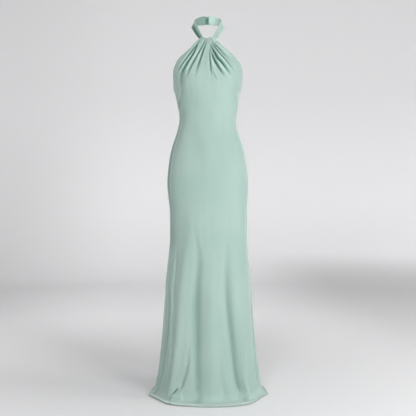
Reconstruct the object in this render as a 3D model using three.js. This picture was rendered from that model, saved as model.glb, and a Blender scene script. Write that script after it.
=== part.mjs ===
// A floor-length halter dress in thin mint jersey, filled out as it hangs when it is worn.
// The front is gathered into a twist at the throat, two straps run round the neck from the twist
// and hook together at the nape, and the back is cut low. The hem breaks on the floor and lies flat.
//
// Millimetres, +X to the right seen from the front, +Y to the back, +Z up.
// Shapes are worked out from the floor up, with X and Y from the middle of the body,
// and the whole group is then moved so that its origin is on the inside of the band at the nape.

import * as THREE from "three";

const NAPE_HEIGHT = 1476;
const NAPE_DEPTH = 65;
const CLOTH = 2;
const SEAM_GAP = 0.3;
const CLEAR = 0.35;

// Heights where the front and back panels meet under the arm, where the skirt starts to break on the floor,
// and where the gathers are tightest.
const UNDERARM = 1193;
const BREAK = 46;
const CHEST_TOP = 1368;

const FRONT_COLUMNS = 50;
const BACK_COLUMNS = 28;

// Sections of the dress from the throat to the floor. left and right are half widths, front and back are
// depths from the middle, edge is how far forward the front panel's own edge stands, and turn is how many
// degrees of the section that panel covers on each side of its centre line.
const SECTIONS = [
  { z: 1380, left: 30, right: 24, front: 69, edge: 67, turn: 16, back: 88 },
  { z: CHEST_TOP, left: 36, right: 31.5, front: 73, edge: 70, turn: 20, back: 88 },
  { z: 1348, left: 55.5, right: 50, front: 80, edge: 72, turn: 28, back: 88 },
  { z: 1333, left: 68, right: 66.5, front: 85, edge: 72, turn: 35, back: 88 },
  { z: 1318, left: 86, right: 84, front: 90, edge: 70, turn: 43, back: 88 },
  { z: 1304, left: 102, right: 100.5, front: 95, edge: 66, turn: 50, back: 88 },
  { z: 1290, left: 117, right: 113, front: 99, edge: 61, turn: 57, back: 88 },
  { z: 1276, left: 125, right: 124.5, front: 103, edge: 54, turn: 63, back: 88 },
  { z: 1264, left: 131, right: 130, front: 105, edge: 46, turn: 68, back: 88 },
  { z: 1250, left: 135, right: 134, front: 106.5, edge: 36, turn: 74, back: 89 },
  { z: 1222, left: 136.5, right: 135, front: 107, edge: 13, turn: 84, back: 90 },
  { z: UNDERARM, left: 136.5, right: 132.5, front: 105, edge: 0, turn: 90, back: 90 },
  { z: 1161, left: 128, right: 121.5, front: 101, edge: 0, turn: 90, back: 86 },
  { z: 1130, left: 121, right: 119, front: 96, edge: 0, turn: 90, back: 81 },
  { z: 1098, left: 115, right: 115, front: 91, edge: 0, turn: 90, back: 77 },
  { z: 1067, left: 112, right: 111, front: 88.5, edge: 0, turn: 90, back: 75 },
  { z: 1035, left: 117, right: 114.5, front: 89.5, edge: 0, turn: 90, back: 78 },
  { z: 1004, left: 126, right: 123, front: 93, edge: 0, turn: 90, back: 86 },
  { z: 956, left: 142, right: 138, front: 98, edge: 0, turn: 90, back: 100 },
  { z: 909, left: 152, right: 147.5, front: 102, edge: 0, turn: 90, back: 112 },
  { z: 862, left: 158, right: 154.5, front: 104, edge: 0, turn: 90, back: 117 },
  { z: 815, left: 161, right: 157.5, front: 104, edge: 0, turn: 90, back: 115 },
  { z: 767, left: 157.5, right: 155.5, front: 104, edge: 0, turn: 90, back: 110 },
  { z: 704, left: 151, right: 153, front: 104, edge: 0, turn: 90, back: 105 },
  { z: 610, left: 150, right: 153.5, front: 106, edge: 0, turn: 90, back: 105 },
  { z: 547, left: 154, right: 155.5, front: 109, edge: 0, turn: 90, back: 110 },
  { z: 484, left: 161, right: 162, front: 113, edge: 0, turn: 90, back: 117 },
  { z: 421, left: 167, right: 168, front: 117, edge: 0, turn: 90, back: 125 },
  { z: 326, left: 170, right: 173.5, front: 125, edge: 0, turn: 90, back: 137 },
  { z: 231, left: 174, right: 180.5, front: 134, edge: 0, turn: 90, back: 150 },
  { z: 137, left: 182.5, right: 187.5, front: 143, edge: 0, turn: 90, back: 163 },
  { z: 74, left: 190.5, right: 196.5, front: 149, edge: 0, turn: 90, back: 171 },
  { z: BREAK, left: 198, right: 201, front: 152, edge: 0, turn: 90, back: 175 },
];

// Half widths and depths of the ring where the cloth turns on the floor.
const FLOOR_RING = { left: 206, right: 210, front: 160, back: 186 };

// The hem's rim on the floor, by the angle of the cloth that reaches it.
const HEM_RIM = [
  { angle: -180, x: 0, y: 238 },
  { angle: -160, x: -82, y: 230 },
  { angle: -140, x: -148, y: 184 },
  { angle: -122, x: -196, y: 122 },
  { angle: -105, x: -216, y: 51 },
  { angle: -90, x: -223, y: 0 },
  { angle: -75, x: -227, y: -59 },
  { angle: -58, x: -190, y: -127 },
  { angle: -43, x: -142, y: -190 },
  { angle: -22, x: -70, y: -212 },
  { angle: 0, x: 0, y: -221 },
  { angle: 18, x: 66, y: -217 },
  { angle: 36, x: 127, y: -202 },
  { angle: 48, x: 166, y: -170 },
  { angle: 62, x: 204, y: -100 },
  { angle: 78, x: 233, y: -42 },
  { angle: 90, x: 230, y: 0 },
  { angle: 106, x: 220, y: 56 },
  { angle: 122, x: 200, y: 126 },
  { angle: 142, x: 140, y: 188 },
  { angle: 162, x: 70, y: 226 },
  { angle: 180, x: 0, y: 238 },
];

// Height of the front panel's top edge, by its place across the panel from -1 to 1.
const NECKLINE = [
  { place: -1, height: 1366 },
  { place: -0.6, height: 1373 },
  { place: -0.15, height: 1369 },
  { place: 0.28, height: 1373 },
  { place: 0.55, height: 1369 },
  { place: 1, height: 1362 },
];

// The gathers crowd the cloth towards the twist, a little to the right of the middle.
const TWIST_PLACE = 0.13;
const CROWD_LEFT = 1.8;
const CROWD_RIGHT = 2.5;
const FAN_FOOT = 1238;

// The low back: its height at the centre, and how sharply it rises to the underarm.
const BACK_LOW = 1098;
const BACK_RISE = 2.3;

// Gathers at the throat, seen from the front: top and bottom ends, how far the middle bows to the right,
// half width at each end, and how far the cloth goes in (below zero) or stands out.
const GATHERS = [
  { x0: -30, z0: 1364, x1: -113, z1: 1250, bow: 0, w0: 3, w1: 4.5, depth: -7 },
  { x0: -36, z0: 1348, x1: -97, z1: 1238, bow: 0, w0: 3, w1: 5, depth: -9 },
  { x0: -9, z0: 1361, x1: -77, z1: 1226, bow: 1, w0: 3, w1: 5, depth: -8 },
  { x0: 0, z0: 1366, x1: -46, z1: 1230, bow: 5, w0: 3, w1: 5.5, depth: -8 },
  { x0: 8, z0: 1350, x1: 11, z1: 1219, bow: -5, w0: 3, w1: 6, depth: -8 },
  { x0: 15, z0: 1324, x1: 57, z1: 1224, bow: -9, w0: 3.5, w1: 6, depth: -7 },
  { x0: 14, z0: 1340, x1: 82, z1: 1229, bow: -4, w0: 3.5, w1: 6, depth: -9 },
  { x0: 17, z0: 1350, x1: 104, z1: 1240, bow: 3, w0: 3, w1: 6, depth: -6 },
  { x0: 19, z0: 1355, x1: 92, z1: 1286, bow: 2, w0: 3, w1: 4.5, depth: -4 },
  { x0: -24, z0: 1358, x1: -88, z1: 1228, bow: 0, w0: 5, w1: 8, depth: 3 },
  { x0: 4, z0: 1356, x1: -24, z1: 1236, bow: 6, w0: 6, w1: 12, depth: 4 },
  { x0: 12, z0: 1318, x1: 37, z1: 1208, bow: -6, w0: 3, w1: 6, depth: 4 },
  { x0: 16, z0: 1330, x1: 70, z1: 1222, bow: -6, w0: 3, w1: 6, depth: 3 },
];

// The left half of the front crosses over the right at the twist.
const TWIST = { x: 11, z: 1352, lean: 0.16, over: 4, under: -3, soften: 1.6, fade: 46, width: 48 };

// Soft fullness over the bust, where the gathers let the cloth out.
const FULLNESS = { x: 68, z: 1226, width: 44, height: 48, depth: 7 };

// Folds of the dress below the arm: heights from top to bottom, the angle at each from the front centre line
// (right is positive, 180 is the centre back), the half width of the fold and its depth at each.
const FOLDS = [
  { z: [1178, 1140, 1098], angle: [-46, -58, -76], width: [5, 6, 4], depth: [-1, -6, -2] },
  { z: [1170, 1140, 1100], angle: [47, 58, 74], width: [5, 6, 4], depth: [-1, -5, -2] },
  { z: [1186, 1150, 1110], angle: [-66, -74, -84], width: [6, 6, 4], depth: [-1, -3, -1] },
  { z: [630, 440, 150, 0], angle: [-16.5, -12, -11, -8.5], width: [9, 14, 17, 20], depth: [0, -7, -11, -9] },
  { z: [600, 420, 200, 0], angle: [-33, -31, -30, -27], width: [16, 20, 22, 20], depth: [0, 4, 6, 3] },
  { z: [560, 460, 330, 200], angle: [-50, -50, -50, -50], width: [12, 14, 14, 14], depth: [0, -3, -2, 0] },
  { z: [560, 420, 200, 0], angle: [7, 7.5, 8, 8], width: [14, 16, 22, 24], depth: [0, 4, 5, 3] },
  {
    z: [540, 395, 275, 155, 62, 0],
    angle: [25, 23.5, 28, 31, 34.5, 40],
    width: [9, 11, 12, 13, 13, 11],
    depth: [0, -7, -10, -13, -14, -12],
  },
  { z: [420, 300, 150, 0], angle: [46, 47, 48, 52], width: [14, 16, 17, 15], depth: [0, 5, 8, 6] },
  { z: [400, 300, 150, 40], angle: [67, 64, 61, 60], width: [12, 14, 15, 12], depth: [0, -5, -8, -6] },
  {
    z: [500, 380, 240, 80, 0],
    angle: [-74, -68, -64, -60, -60],
    width: [12, 13, 14, 15, 15],
    depth: [0, -8, -14, -16, -10],
  },
  {
    z: [520, 380, 240, 80, 0],
    angle: [-55, -51, -49, -45, -44],
    width: [9, 9, 9, 10, 10],
    depth: [0, 3, 6, 7, 4],
  },
  { z: [430, 300, 120, 0], angle: [-84, -82, -80, -78], width: [12, 13, 14, 15], depth: [0, 3, 6, 5] },
  { z: [230, 155, 100, 56], angle: [-21, -22.5, -24.5, -29], width: [6, 7, 7, 5], depth: [0, -3, -7, -4] },
  { z: [120, 80, 20, 0], angle: [13, 14, 17, 21], width: [6, 7, 8, 8], depth: [0, -2, -5, -4] },
  { z: [430, 300, 120, 0], angle: [86, 84, 82, 80], width: [13, 14, 16, 16], depth: [0, 3, 6, 5] },
  { z: [560, 400, 200, 0], angle: [112, 112, 111, 110], width: [14, 18, 20, 20], depth: [0, -6, -10, -9] },
  { z: [540, 400, 200, 0], angle: [132, 131, 130, 128], width: [18, 20, 24, 24], depth: [0, 4, 7, 5] },
  { z: [620, 460, 240, 0], angle: [152, 152, 151, 148], width: [12, 16, 20, 22], depth: [0, -7, -12, -11] },
  { z: [600, 420, 200, 0], angle: [173, 173, 172, 170], width: [18, 22, 26, 26], depth: [0, 4, 8, 6] },
  { z: [640, 480, 260, 0], angle: [-162, -163, -164, -166], width: [12, 16, 20, 22], depth: [0, -7, -12, -9] },
  { z: [540, 400, 200, 0], angle: [-140, -140, -141, -142], width: [18, 20, 22, 24], depth: [0, 4, 7, 6] },
  { z: [560, 400, 200, 0], angle: [-119, -118, -116, -114], width: [12, 16, 18, 20], depth: [0, -6, -11, -9] },
  { z: [1060, 1030, 1000], angle: [128, 150, 168], width: [7, 8, 8], depth: [0, -3, 0] },
  { z: [1060, 1030, 1000], angle: [-128, -150, -168], width: [7, 8, 8], depth: [0, -3, 0] },
];

// Where the extra length folds over itself at the floor, each like a small tent: the angle of its apex
// and of its left and right foot, how far its apex is above the floor ring along the cloth, and its height.
const HEM_TENTS = [
  { apex: -31, left: -44, right: -25.5, rise: 58, height: 13 },
  { apex: -4, left: -8, right: 1, rise: 8, height: 4 },
  { apex: 33.5, left: 30, right: 37, rise: 10, height: 5 },
  { apex: 46, left: 41, right: 51, rise: 20, height: 8 },
  { apex: 76, left: 68, right: 84, rise: 26, height: 7 },
  { apex: -70, left: -79, right: -60, rise: 24, height: 6 },
  { apex: 116, left: 105, right: 126, rise: 30, height: 4 },
  { apex: 158, left: 150, right: 170, rise: 28, height: 9 },
  { apex: -152, left: -162, right: -142, rise: 28, height: 9 },
  { apex: -112, left: -123, right: -100, rise: 30, height: 4 },
];

// The straps' top and bottom edges, from the nape round the side of the neck to the twist.
// Each row is one place along the strap: x, y and z of the top edge, then of the bottom edge.
const STRAP_LEFT = [
  { top: [-10.5, 65.3, 1494], bottom: [-10.5, 65.6, 1458] },
  { top: [-31, 59.6, 1489], bottom: [-32, 60.5, 1455] },
  { top: [-47, 45, 1478], bottom: [-49, 46, 1449] },
  { top: [-54, 20, 1463], bottom: [-61, 22, 1440] },
  { top: [-52, -5, 1449], bottom: [-65, -5, 1428] },
  { top: [-41.5, -28, 1430], bottom: [-57, -32, 1408] },
  { top: [-31, -47, 1403], bottom: [-46, -50, 1387] },
];
const STRAP_RIGHT = [
  { top: [2.8, 65.9, 1494], bottom: [2.8, 66.2, 1458] },
  { top: [30, 60, 1489], bottom: [31, 61, 1455] },
  { top: [46, 46, 1479], bottom: [48, 47, 1450] },
  { top: [53, 20, 1465], bottom: [61, 22, 1441] },
  { top: [49, -5, 1449], bottom: [66, -5, 1431] },
  { top: [40, -28, 1425], bottom: [57, -33, 1407] },
  { top: [29, -54, 1398], bottom: [44, -62, 1382] },
];
// The left strap's end is sewn behind the front panel and the right one lies on it,
// so for these rows only X and Z are given.
const STRAP_LEFT_END = [
  { top: [-20, 1379], bottom: [-35, 1370] },
  { top: [-12, 1364], bottom: [-24, 1356] },
];
const STRAP_RIGHT_END = [
  { top: [19, 1379], bottom: [35, 1367] },
  { top: [12.5, 1371], bottom: [28, 1358.5] },
  { top: [14, 1363], bottom: [22, 1356.5] },
];
const STRAP = {
  sections: 26,
  across: 8,
  backThickness: 2,
  frontThickness: 3.4,
  endThickness: 1.6,
  blunt: 0.12,
  ridges: 3,
  ridgeHeight: 1.1,
  gatherFrom: 0.35,
  gatherRun: 0.3,
  endFrom: 0.86,
  flattened: 0.8,
};

// The gathers dip behind the front panel, and the left strap's end clears them by this.
const GATHER_ROOM = 4.1;

// The hooked closing at the nape: a tab outside the band bridges the gap between the strap ends.
const TAB = { left: -18, right: 9, top: 1492, bottom: 1460, thickness: 1.2, steps: 6 };
const NAPE_ARC = 150;
const NAPE_CLEAR = 0.6;
const WIRE = 0.45;
const WIRE_SIDES = 4;
const WIRE_STEPS = 14;
const EYE = { root: -9, reach: 5.5, shoulder: 3.3, halfHeight: 2.6 };
const HOOK = { root: 8, tip: -5.2, bend: 1.2, depth: 1.6 };
const FASTENER_HEIGHTS = { upper: 1486, lower: 1466 };

const MINT = new THREE.MeshStandardMaterial({ color: 0xb4d2c6, roughness: 0.78, metalness: 0 });
const METAL = new THREE.MeshStandardMaterial({ color: 0x7f9a90, roughness: 0.4, metalness: 0.7 });

// A value between the rows of a table, on a smooth curve through them. keys run up or down.
function smoothAt(keys, values, key) {
  const rising = keys[keys.length - 1] > keys[0];
  const sorted = keys.map((k, i) => [k, values[i]]);
  if (!rising) sorted.reverse();
  const last = sorted.length - 1;
  if (key <= sorted[0][0]) return sorted[0][1];
  if (key >= sorted[last][0]) return sorted[last][1];
  let i = 0;
  while (key > sorted[i + 1][0]) i += 1;
  const slope = (a, b) => (sorted[b][1] - sorted[a][1]) / (sorted[b][0] - sorted[a][0]);
  const here = slope(i, i + 1);
  const before = i > 0 ? slope(i - 1, i) : here;
  const after = i + 1 < last ? slope(i + 1, i + 2) : here;
  const tangent = (p, q) => (p * q <= 0 ? 0 : (2 * p * q) / (p + q));
  const span = sorted[i + 1][0] - sorted[i][0];
  const t = (key - sorted[i][0]) / span;
  const m0 = tangent(before, here) * span;
  const m1 = tangent(here, after) * span;
  const t2 = t * t;
  const t3 = t2 * t;
  return (2 * t3 - 3 * t2 + 1) * sorted[i][1] + (t3 - 2 * t2 + t) * m0
    + (3 * t2 - 2 * t3) * sorted[i + 1][1] + (t3 - t2) * m1;
}

const SECTION_HEIGHTS = SECTIONS.map((row) => row.z);
const sectionAt = (column, z) => smoothAt(SECTION_HEIGHTS, SECTIONS.map((row) => row[column]), z);
const mix = (a, b, t) => a + (b - a) * t;
const clamp01 = (t) => Math.min(1, Math.max(0, t));
const ease = (t) => clamp01(t) ** 2 * (3 - 2 * clamp01(t));
const radians = (degrees) => (degrees * Math.PI) / 180;

// Place across the front, from -1 to 1, of a column of the cloth: crowded towards the twist above the bust.
function placeAcross(u, z) {
  const gathered = ease((z - FAN_FOOT) / (CHEST_TOP - FAN_FOOT));
  const centre = TWIST_PLACE * gathered;
  const power = mix(1, u < 0 ? CROWD_LEFT : CROWD_RIGHT, gathered);
  const reach = Math.abs(u) ** power;
  return u < 0 ? centre - (1 + centre) * reach : centre + (1 - centre) * reach;
}

// A point of the dress's plain section at a height, at a share of its turn from the front centre line.
function frontSection(place, z) {
  const turn = radians(sectionAt("turn", z));
  const half = sectionAt(place < 0 ? "left" : "right", z);
  const front = sectionAt("front", z);
  const edge = sectionAt("edge", z);
  const fall = (1 - Math.cos(turn * place)) / (1 - Math.cos(turn));
  return new THREE.Vector3((half * Math.sin(turn * place)) / Math.sin(turn), -mix(front, edge, fall), z);
}

// A point of a whole ring, at an angle from the front centre line.
function ringPoint(ring, angle, z) {
  const x = (angle < 0 ? ring.left : ring.right) * Math.abs(Math.sin(radians(angle)));
  const forward = Math.abs(angle) <= 90;
  const y = (forward ? -ring.front : -ring.back) * Math.cos(radians(angle));
  return new THREE.Vector3(angle < 0 ? -x : x, y, z);
}

const RING_COLUMNS = ["left", "right", "front", "back"];
const bodyRing = (z) => Object.fromEntries(RING_COLUMNS.map((column) => [column, sectionAt(column, z)]));

// The turn of the cloth on the floor: it leaves the wall at BREAK, bends on the floor ring and runs flat
// to the rim. share goes from 0 at the break to 1 at the rim, and the bend takes BEND_SHARE of it.
const BEND_SHARE = 0.62;
const BEND_REACH = 0.45;
const RIM_ANGLES = HEM_RIM.map((row) => row.angle);

function floorPoint(angle, share) {
  const wall = ringPoint(bodyRing(BREAK), angle, BREAK);
  const corner = ringPoint(FLOOR_RING, angle, CLOTH);
  const rimAt = (axis) => smoothAt(RIM_ANGLES, HEM_RIM.map((row) => row[axis]), angle);
  const rim = new THREE.Vector3(rimAt("x"), rimAt("y"), CLOTH);
  const flat = corner.clone().lerp(rim, BEND_REACH);
  if (share > BEND_SHARE) return flat.lerp(rim, (share - BEND_SHARE) / (1 - BEND_SHARE));
  const t = share / BEND_SHARE;
  return wall.multiplyScalar((1 - t) ** 2)
    .addScaledVector(corner, 2 * t * (1 - t))
    .addScaledVector(flat, t * t);
}

// How far a gather moves the cloth out or in at a place seen from the front.
// It comes in quickly at its top end and dies away slowly at its foot.
const GATHER_START = { before: 0.12, run: 0.24 };
const GATHER_END = { after: 1.08, run: 0.45 };

function gatherAt(gather, x, z) {
  const dx = gather.x1 - gather.x0;
  const dz = gather.z1 - gather.z0;
  const length = Math.hypot(dx, dz);
  const t = ((x - gather.x0) * dx + (z - gather.z0) * dz) / (length * length);
  if (t < -GATHER_START.before || t > GATHER_END.after) return 0;
  const across = ((x - gather.x0) * -dz + (z - gather.z0) * dx) / length;
  const bowed = across - gather.bow * 4 * clamp01(t) * (1 - clamp01(t));
  const width = mix(gather.w0, gather.w1, clamp01(t));
  const start = ease((t + GATHER_START.before) / GATHER_START.run);
  const fade = start * ease((GATHER_END.after - t) / GATHER_END.run);
  return gather.depth * fade * Math.exp(-((bowed / width) ** 2));
}

// The step between the two halves of the front at the twist: the left stands over the right.
function twistStep(x, z) {
  const line = TWIST.x - (TWIST.z - z) * TWIST.lean;
  const side = Math.tanh((x - line) / TWIST.soften);
  const height = mix(TWIST.over, TWIST.under, (side + 1) / 2);
  return height * ease((z - TWIST.z + TWIST.fade) / TWIST.fade) * Math.exp(-((x / TWIST.width) ** 2));
}

function fullnessAt(x, z) {
  const lobe = (side) => Math.exp(-(((x - side * FULLNESS.x) / FULLNESS.width) ** 2));
  return FULLNESS.depth * (lobe(-1) + lobe(1)) * Math.exp(-(((z - FULLNESS.z) / FULLNESS.height) ** 2));
}

// How far one fold moves the cloth. A fold whose last height is above the floor ends there.
function foldAt(fold, angle, z, radius) {
  const top = fold.z[0];
  const bottom = fold.z[fold.z.length - 1];
  if (z > top || (z < bottom && bottom > 0)) return 0;
  const centre = smoothAt(fold.z, fold.angle, z);
  let apart = angle - centre;
  if (apart > 180) apart -= 360;
  if (apart < -180) apart += 360;
  const width = smoothAt(fold.z, fold.width, z);
  return smoothAt(fold.z, fold.depth, z) * Math.exp(-((radians(apart) * radius / width) ** 2));
}

function foldsAt(angle, z) {
  const ring = bodyRing(Math.max(z, BREAK));
  const side = angle < 0 ? ring.left : ring.right;
  const radius = 0.5 * (side + (Math.abs(angle) <= 90 ? ring.front : ring.back));
  return FOLDS.reduce((sum, fold) => sum + foldAt(fold, angle, z, radius), 0);
}

// A tent at the floor, at an angle and a distance down the cloth from the floor ring, below zero up the wall.
// It opens from its apex to its feet at TENT_FOOT and sinks to nothing at the rim, RIM_RUN away.
const TENT_FOOT = 30;
const TENT_EDGE = 1.5;
const TENT_CROWN = 1.5;
const RIM_RUN = 72;
const RIM_FADE = 40;

function tentAt(tent, angle, fall) {
  let apart = angle - tent.apex;
  if (apart < -180) apart += 360;
  const open = (fall + tent.rise) / (tent.rise + TENT_FOOT);
  if (open <= 0) return 0;
  const spread = Math.min(1, open);
  const foot = apart < 0 ? (tent.apex - tent.left) * spread : (tent.right - tent.apex) * spread;
  const across = 1 - Math.abs(apart) / (foot + TENT_EDGE);
  const height = tent.height * ease((RIM_RUN - fall) / RIM_FADE);
  return height * ease(open * TENT_CROWN) * ease(across * TENT_CROWN);
}

const hemTentsAt = (angle, fall) => HEM_TENTS.reduce((sum, tent) => sum + tentAt(tent, angle, fall), 0);

// Both walls of the cloth at a point of its plain surface: moved out by its folds, and in by its thickness.
function wallPair(plain, lift, u, v) {
  const step = 1e-3;
  const here = plain(u, v);
  const across = plain(u + step, v).sub(plain(u - step, v));
  const down = plain(u, v + step).sub(plain(u, v - step));
  const out = across.cross(down).normalize().negate();
  const raised = lift(u, v, here);
  const outer = here.clone().addScaledVector(out, raised);
  const inner = here.clone().addScaledVector(out, raised - CLOTH);
  inner.z = Math.max(inner.z, 0);
  outer.z = Math.max(outer.z, CLOTH);
  return [outer, inner];
}

// A closed solid from a grid of outer and inner points: both walls and the four edges between them.
function shell(pairs, shiftY) {
  const rows = pairs.length;
  const columns = pairs[0].length;
  const positions = [];
  const index = [];
  for (const side of [0, 1]) {
    for (const row of pairs) {
      for (const pair of row) positions.push(pair[side].x, pair[side].y + shiftY, pair[side].z);
    }
  }
  const at = (side, r, c) => side * rows * columns + r * columns + c;
  const quad = (a, b, c, d) => index.push(a, b, c, a, c, d);
  for (let r = 0; r + 1 < rows; r += 1) {
    for (let c = 0; c + 1 < columns; c += 1) {
      quad(at(0, r, c), at(0, r + 1, c), at(0, r + 1, c + 1), at(0, r, c + 1));
      quad(at(1, r, c), at(1, r, c + 1), at(1, r + 1, c + 1), at(1, r + 1, c));
    }
  }
  for (let r = 0; r + 1 < rows; r += 1) {
    quad(at(0, r, 0), at(1, r, 0), at(1, r + 1, 0), at(0, r + 1, 0));
    quad(at(0, r, columns - 1), at(0, r + 1, columns - 1), at(1, r + 1, columns - 1), at(1, r, columns - 1));
  }
  for (let c = 0; c + 1 < columns; c += 1) {
    quad(at(0, 0, c), at(0, 0, c + 1), at(1, 0, c + 1), at(1, 0, c));
    quad(at(0, rows - 1, c), at(1, rows - 1, c), at(1, rows - 1, c + 1), at(0, rows - 1, c + 1));
  }
  const geometry = new THREE.BufferGeometry();
  geometry.setAttribute("position", new THREE.Float32BufferAttribute(positions, 3));
  geometry.setIndex(index);
  geometry.computeVertexNormals();
  return geometry;
}

const evenly = (count, from, to) => Array.from({ length: count + 1 }, (_, i) => mix(from, to, i / count));

// Places down a panel run from 0 at its top edge to 1 at the underarm or the waist, 2 at the break
// and 3 at the rim.
const TOP_ROWS = { front: 16, back: 6 };
const FLOOR_FADE = 0.8;
const BODY_HEIGHTS = [1170, 1145, 1120, 1095, 1068, 1040, 1010, 975, 935, 890, 840, 780, 715, 640, 570, 510,
  450, 395, 340, 285, 235, 185, 140, 105, 75, BREAK];
const FLOOR_PLACES = [2.16, 2.32, 2.47, 2 + BEND_SHARE, 2.8, 3];

// The front panel's plain surface at column u and place v down the panel.
function frontPlain(u, v) {
  if (v > 2) return floorPoint(u * 90, v - 2);
  if (v > 1) return frontSection(u, mix(UNDERARM, BREAK, v - 1));
  const place = placeAcross(u, CHEST_TOP);
  const top = smoothAt(NECKLINE.map((row) => row.place), NECKLINE.map((row) => row.height), place);
  const z = mix(top, UNDERARM, v);
  return frontSection(placeAcross(u, z), z);
}

function frontLift(u, v, point) {
  if (v > 2) return floorLift(u * 90, v - 2, point.z);
  if (point.z > UNDERARM) return chestLift(point.x, point.z);
  return foldsAt(u * 90, point.z) + chestLift(point.x, point.z) + hemTentsAt(u * 90, -point.z);
}

function floorLift(angle, share, z) {
  const folds = foldsAt(angle, z) * (1 - ease(share / FLOOR_FADE));
  return folds + hemTentsAt(angle, mix(-BREAK, RIM_RUN, share));
}

function chestLift(x, z) {
  const gathers = GATHERS.reduce((sum, gather) => sum + gatherAt(gather, x, z), 0);
  return gathers + twistStep(x, z) + fullnessAt(x, z);
}

const toPlace = (z) => 1 + (UNDERARM - z) / (UNDERARM - BREAK);

function frontPanel() {
  const downs = [...evenly(TOP_ROWS.front, 0, 1), ...BODY_HEIGHTS.map(toPlace), ...FLOOR_PLACES];
  const columns = evenly(FRONT_COLUMNS, -1, 1);
  return shell(downs.map((v) => columns.map((u) => wallPair(frontPlain, frontLift, u, v))), -SEAM_GAP / 2);
}

// The back panel runs from the right side seam round the back to the left one, so its angle passes 180.
const BACK_EASE = 1010;
const backAngle = (u) => (u < 0 ? 1 : -1) * (180 - 90 * Math.abs(u));

function backPlain(u, v) {
  const angle = backAngle(u);
  if (v > 2) return floorPoint(angle, v - 2);
  const top = mix(BACK_LOW, UNDERARM, Math.abs(u) ** BACK_RISE);
  const z = v > 1 ? mix(BACK_EASE, BREAK, v - 1) : mix(top, BACK_EASE, v);
  return ringPoint(bodyRing(z), angle, z);
}

function backLift(u, v, point) {
  const angle = backAngle(u);
  if (v > 2) return floorLift(angle, v - 2, point.z);
  return foldsAt(angle, point.z) + hemTentsAt(angle, -point.z);
}

function backPanel() {
  const heights = BODY_HEIGHTS.filter((z) => z < BACK_EASE);
  const place = (z) => 1 + (BACK_EASE - z) / (BACK_EASE - BREAK);
  const downs = [...evenly(TOP_ROWS.back, 0, 1), ...heights.map(place), ...FLOOR_PLACES];
  const columns = evenly(BACK_COLUMNS, -1, 1);
  return shell(downs.map((v) => columns.map((u) => wallPair(backPlain, backLift, u, v))), SEAM_GAP / 2);
}

// How far forward the front panel's outer wall stands at a place seen from the front.
function frontSurfaceY(x, z) {
  let low = -1;
  let high = 1;
  for (let i = 0; i < 40; i += 1) {
    const middle = (low + high) / 2;
    if (frontSection(middle, z).x < x) low = middle;
    else high = middle;
  }
  return frontSection((low + high) / 2, z).y - chestLift(x, z) - SEAM_GAP / 2;
}

// A smooth curve through the points of a table, open at both ends.
function curveThrough(points) {
  return new THREE.CatmullRomCurve3(points.map((p) => new THREE.Vector3(...p)), false, "centripetal");
}

// A strap: a band between its two edges, flat and thin at the nape, thick and gathered into ridges
// at the front. Its thickness changes with the share t of its length from the nape.
function strap(rows) {
  const topEdge = curveThrough(rows.map((row) => row.top));
  const bottomEdge = curveThrough(rows.map((row) => row.bottom));
  const loops = evenly(STRAP.sections, 0, 1).map((t) => {
    const top = topEdge.getPoint(t);
    const bottom = bottomEdge.getPoint(t);
    const out = bottom.clone().sub(top).cross(topEdge.getTangent(t)).normalize();
    const middle = top.clone().lerp(bottom, 0.5);
    if (out.dot(new THREE.Vector3(middle.x, middle.y, 0)) < 0) out.negate();
    const ending = ease((t - STRAP.endFrom) / (1 - STRAP.endFrom));
    const gathered = ease((t - STRAP.gatherFrom) / STRAP.gatherRun) * (1 - STRAP.flattened * ending);
    const plain = mix(STRAP.backThickness, STRAP.endThickness, ending);
    const half = mix(plain, STRAP.frontThickness, gathered) / 2;
    const wall = (side, w) => {
      const crown = Math.sqrt(Math.max(STRAP.blunt, 1 - (2 * w - 1) ** 4));
      const wave = -0.5 * Math.cos(2 * Math.PI * STRAP.ridges * w);
      const ridge = side > 0 ? STRAP.ridgeHeight * gathered * wave * crown : 0;
      return top.clone().lerp(bottom, w).addScaledVector(out, side * half * crown + ridge);
    };
    const across = evenly(STRAP.across, 0, 1);
    return [...across.map((w) => wall(1, w)), ...across.reverse().map((w) => wall(-1, w))];
  });
  return tubeOf(loops);
}

// A closed solid from rings with the same number of points, with both ends capped.
function tubeOf(loops) {
  const size = loops[0].length;
  const positions = loops.flat().flatMap((p) => [p.x, p.y, p.z]);
  const index = [];
  for (let s = 0; s + 1 < loops.length; s += 1) {
    for (let i = 0; i < size; i += 1) {
      const j = (i + 1) % size;
      const a = s * size + i;
      const b = s * size + j;
      index.push(a, b, b + size, a, b + size, a + size);
    }
  }
  const last = (loops.length - 1) * size;
  const half = size / 2;
  for (let i = 0; i + 1 < half; i += 1) {
    const far = size - 1 - i;
    index.push(i, far, far - 1, i, far - 1, i + 1);
    index.push(last + i, last + i + 1, last + far - 1, last + i, last + far - 1, last + far);
  }
  const geometry = new THREE.BufferGeometry();
  geometry.setAttribute("position", new THREE.Float32BufferAttribute(positions, 3));
  geometry.setIndex(index);
  return facingOut(geometry);
}

// Turns every face round if the solid's volume comes out below zero.
function facingOut(geometry) {
  const p = geometry.attributes.position;
  const index = geometry.index.array;
  const corner = [0, 1, 2].map(() => new THREE.Vector3());
  let volume = 0;
  for (let i = 0; i < index.length; i += 3) {
    corner.forEach((c, k) => c.fromBufferAttribute(p, index[i + k]));
    volume += corner[0].dot(corner[1].clone().cross(corner[2]));
  }
  if (volume < 0) {
    for (let i = 0; i < index.length; i += 3) [index[i + 1], index[i + 2]] = [index[i + 2], index[i + 1]];
  }
  geometry.computeVertexNormals();
  return geometry;
}

// Where a strap's middle lies in front of the front panel's cloth, or behind it, a small gap away.
const ON_FRONT = -(STRAP.endThickness + STRAP.ridgeHeight) / 2 - CLEAR;
const BEHIND_FRONT = CLOTH + STRAP.frontThickness / 2 + GATHER_ROOM;

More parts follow.
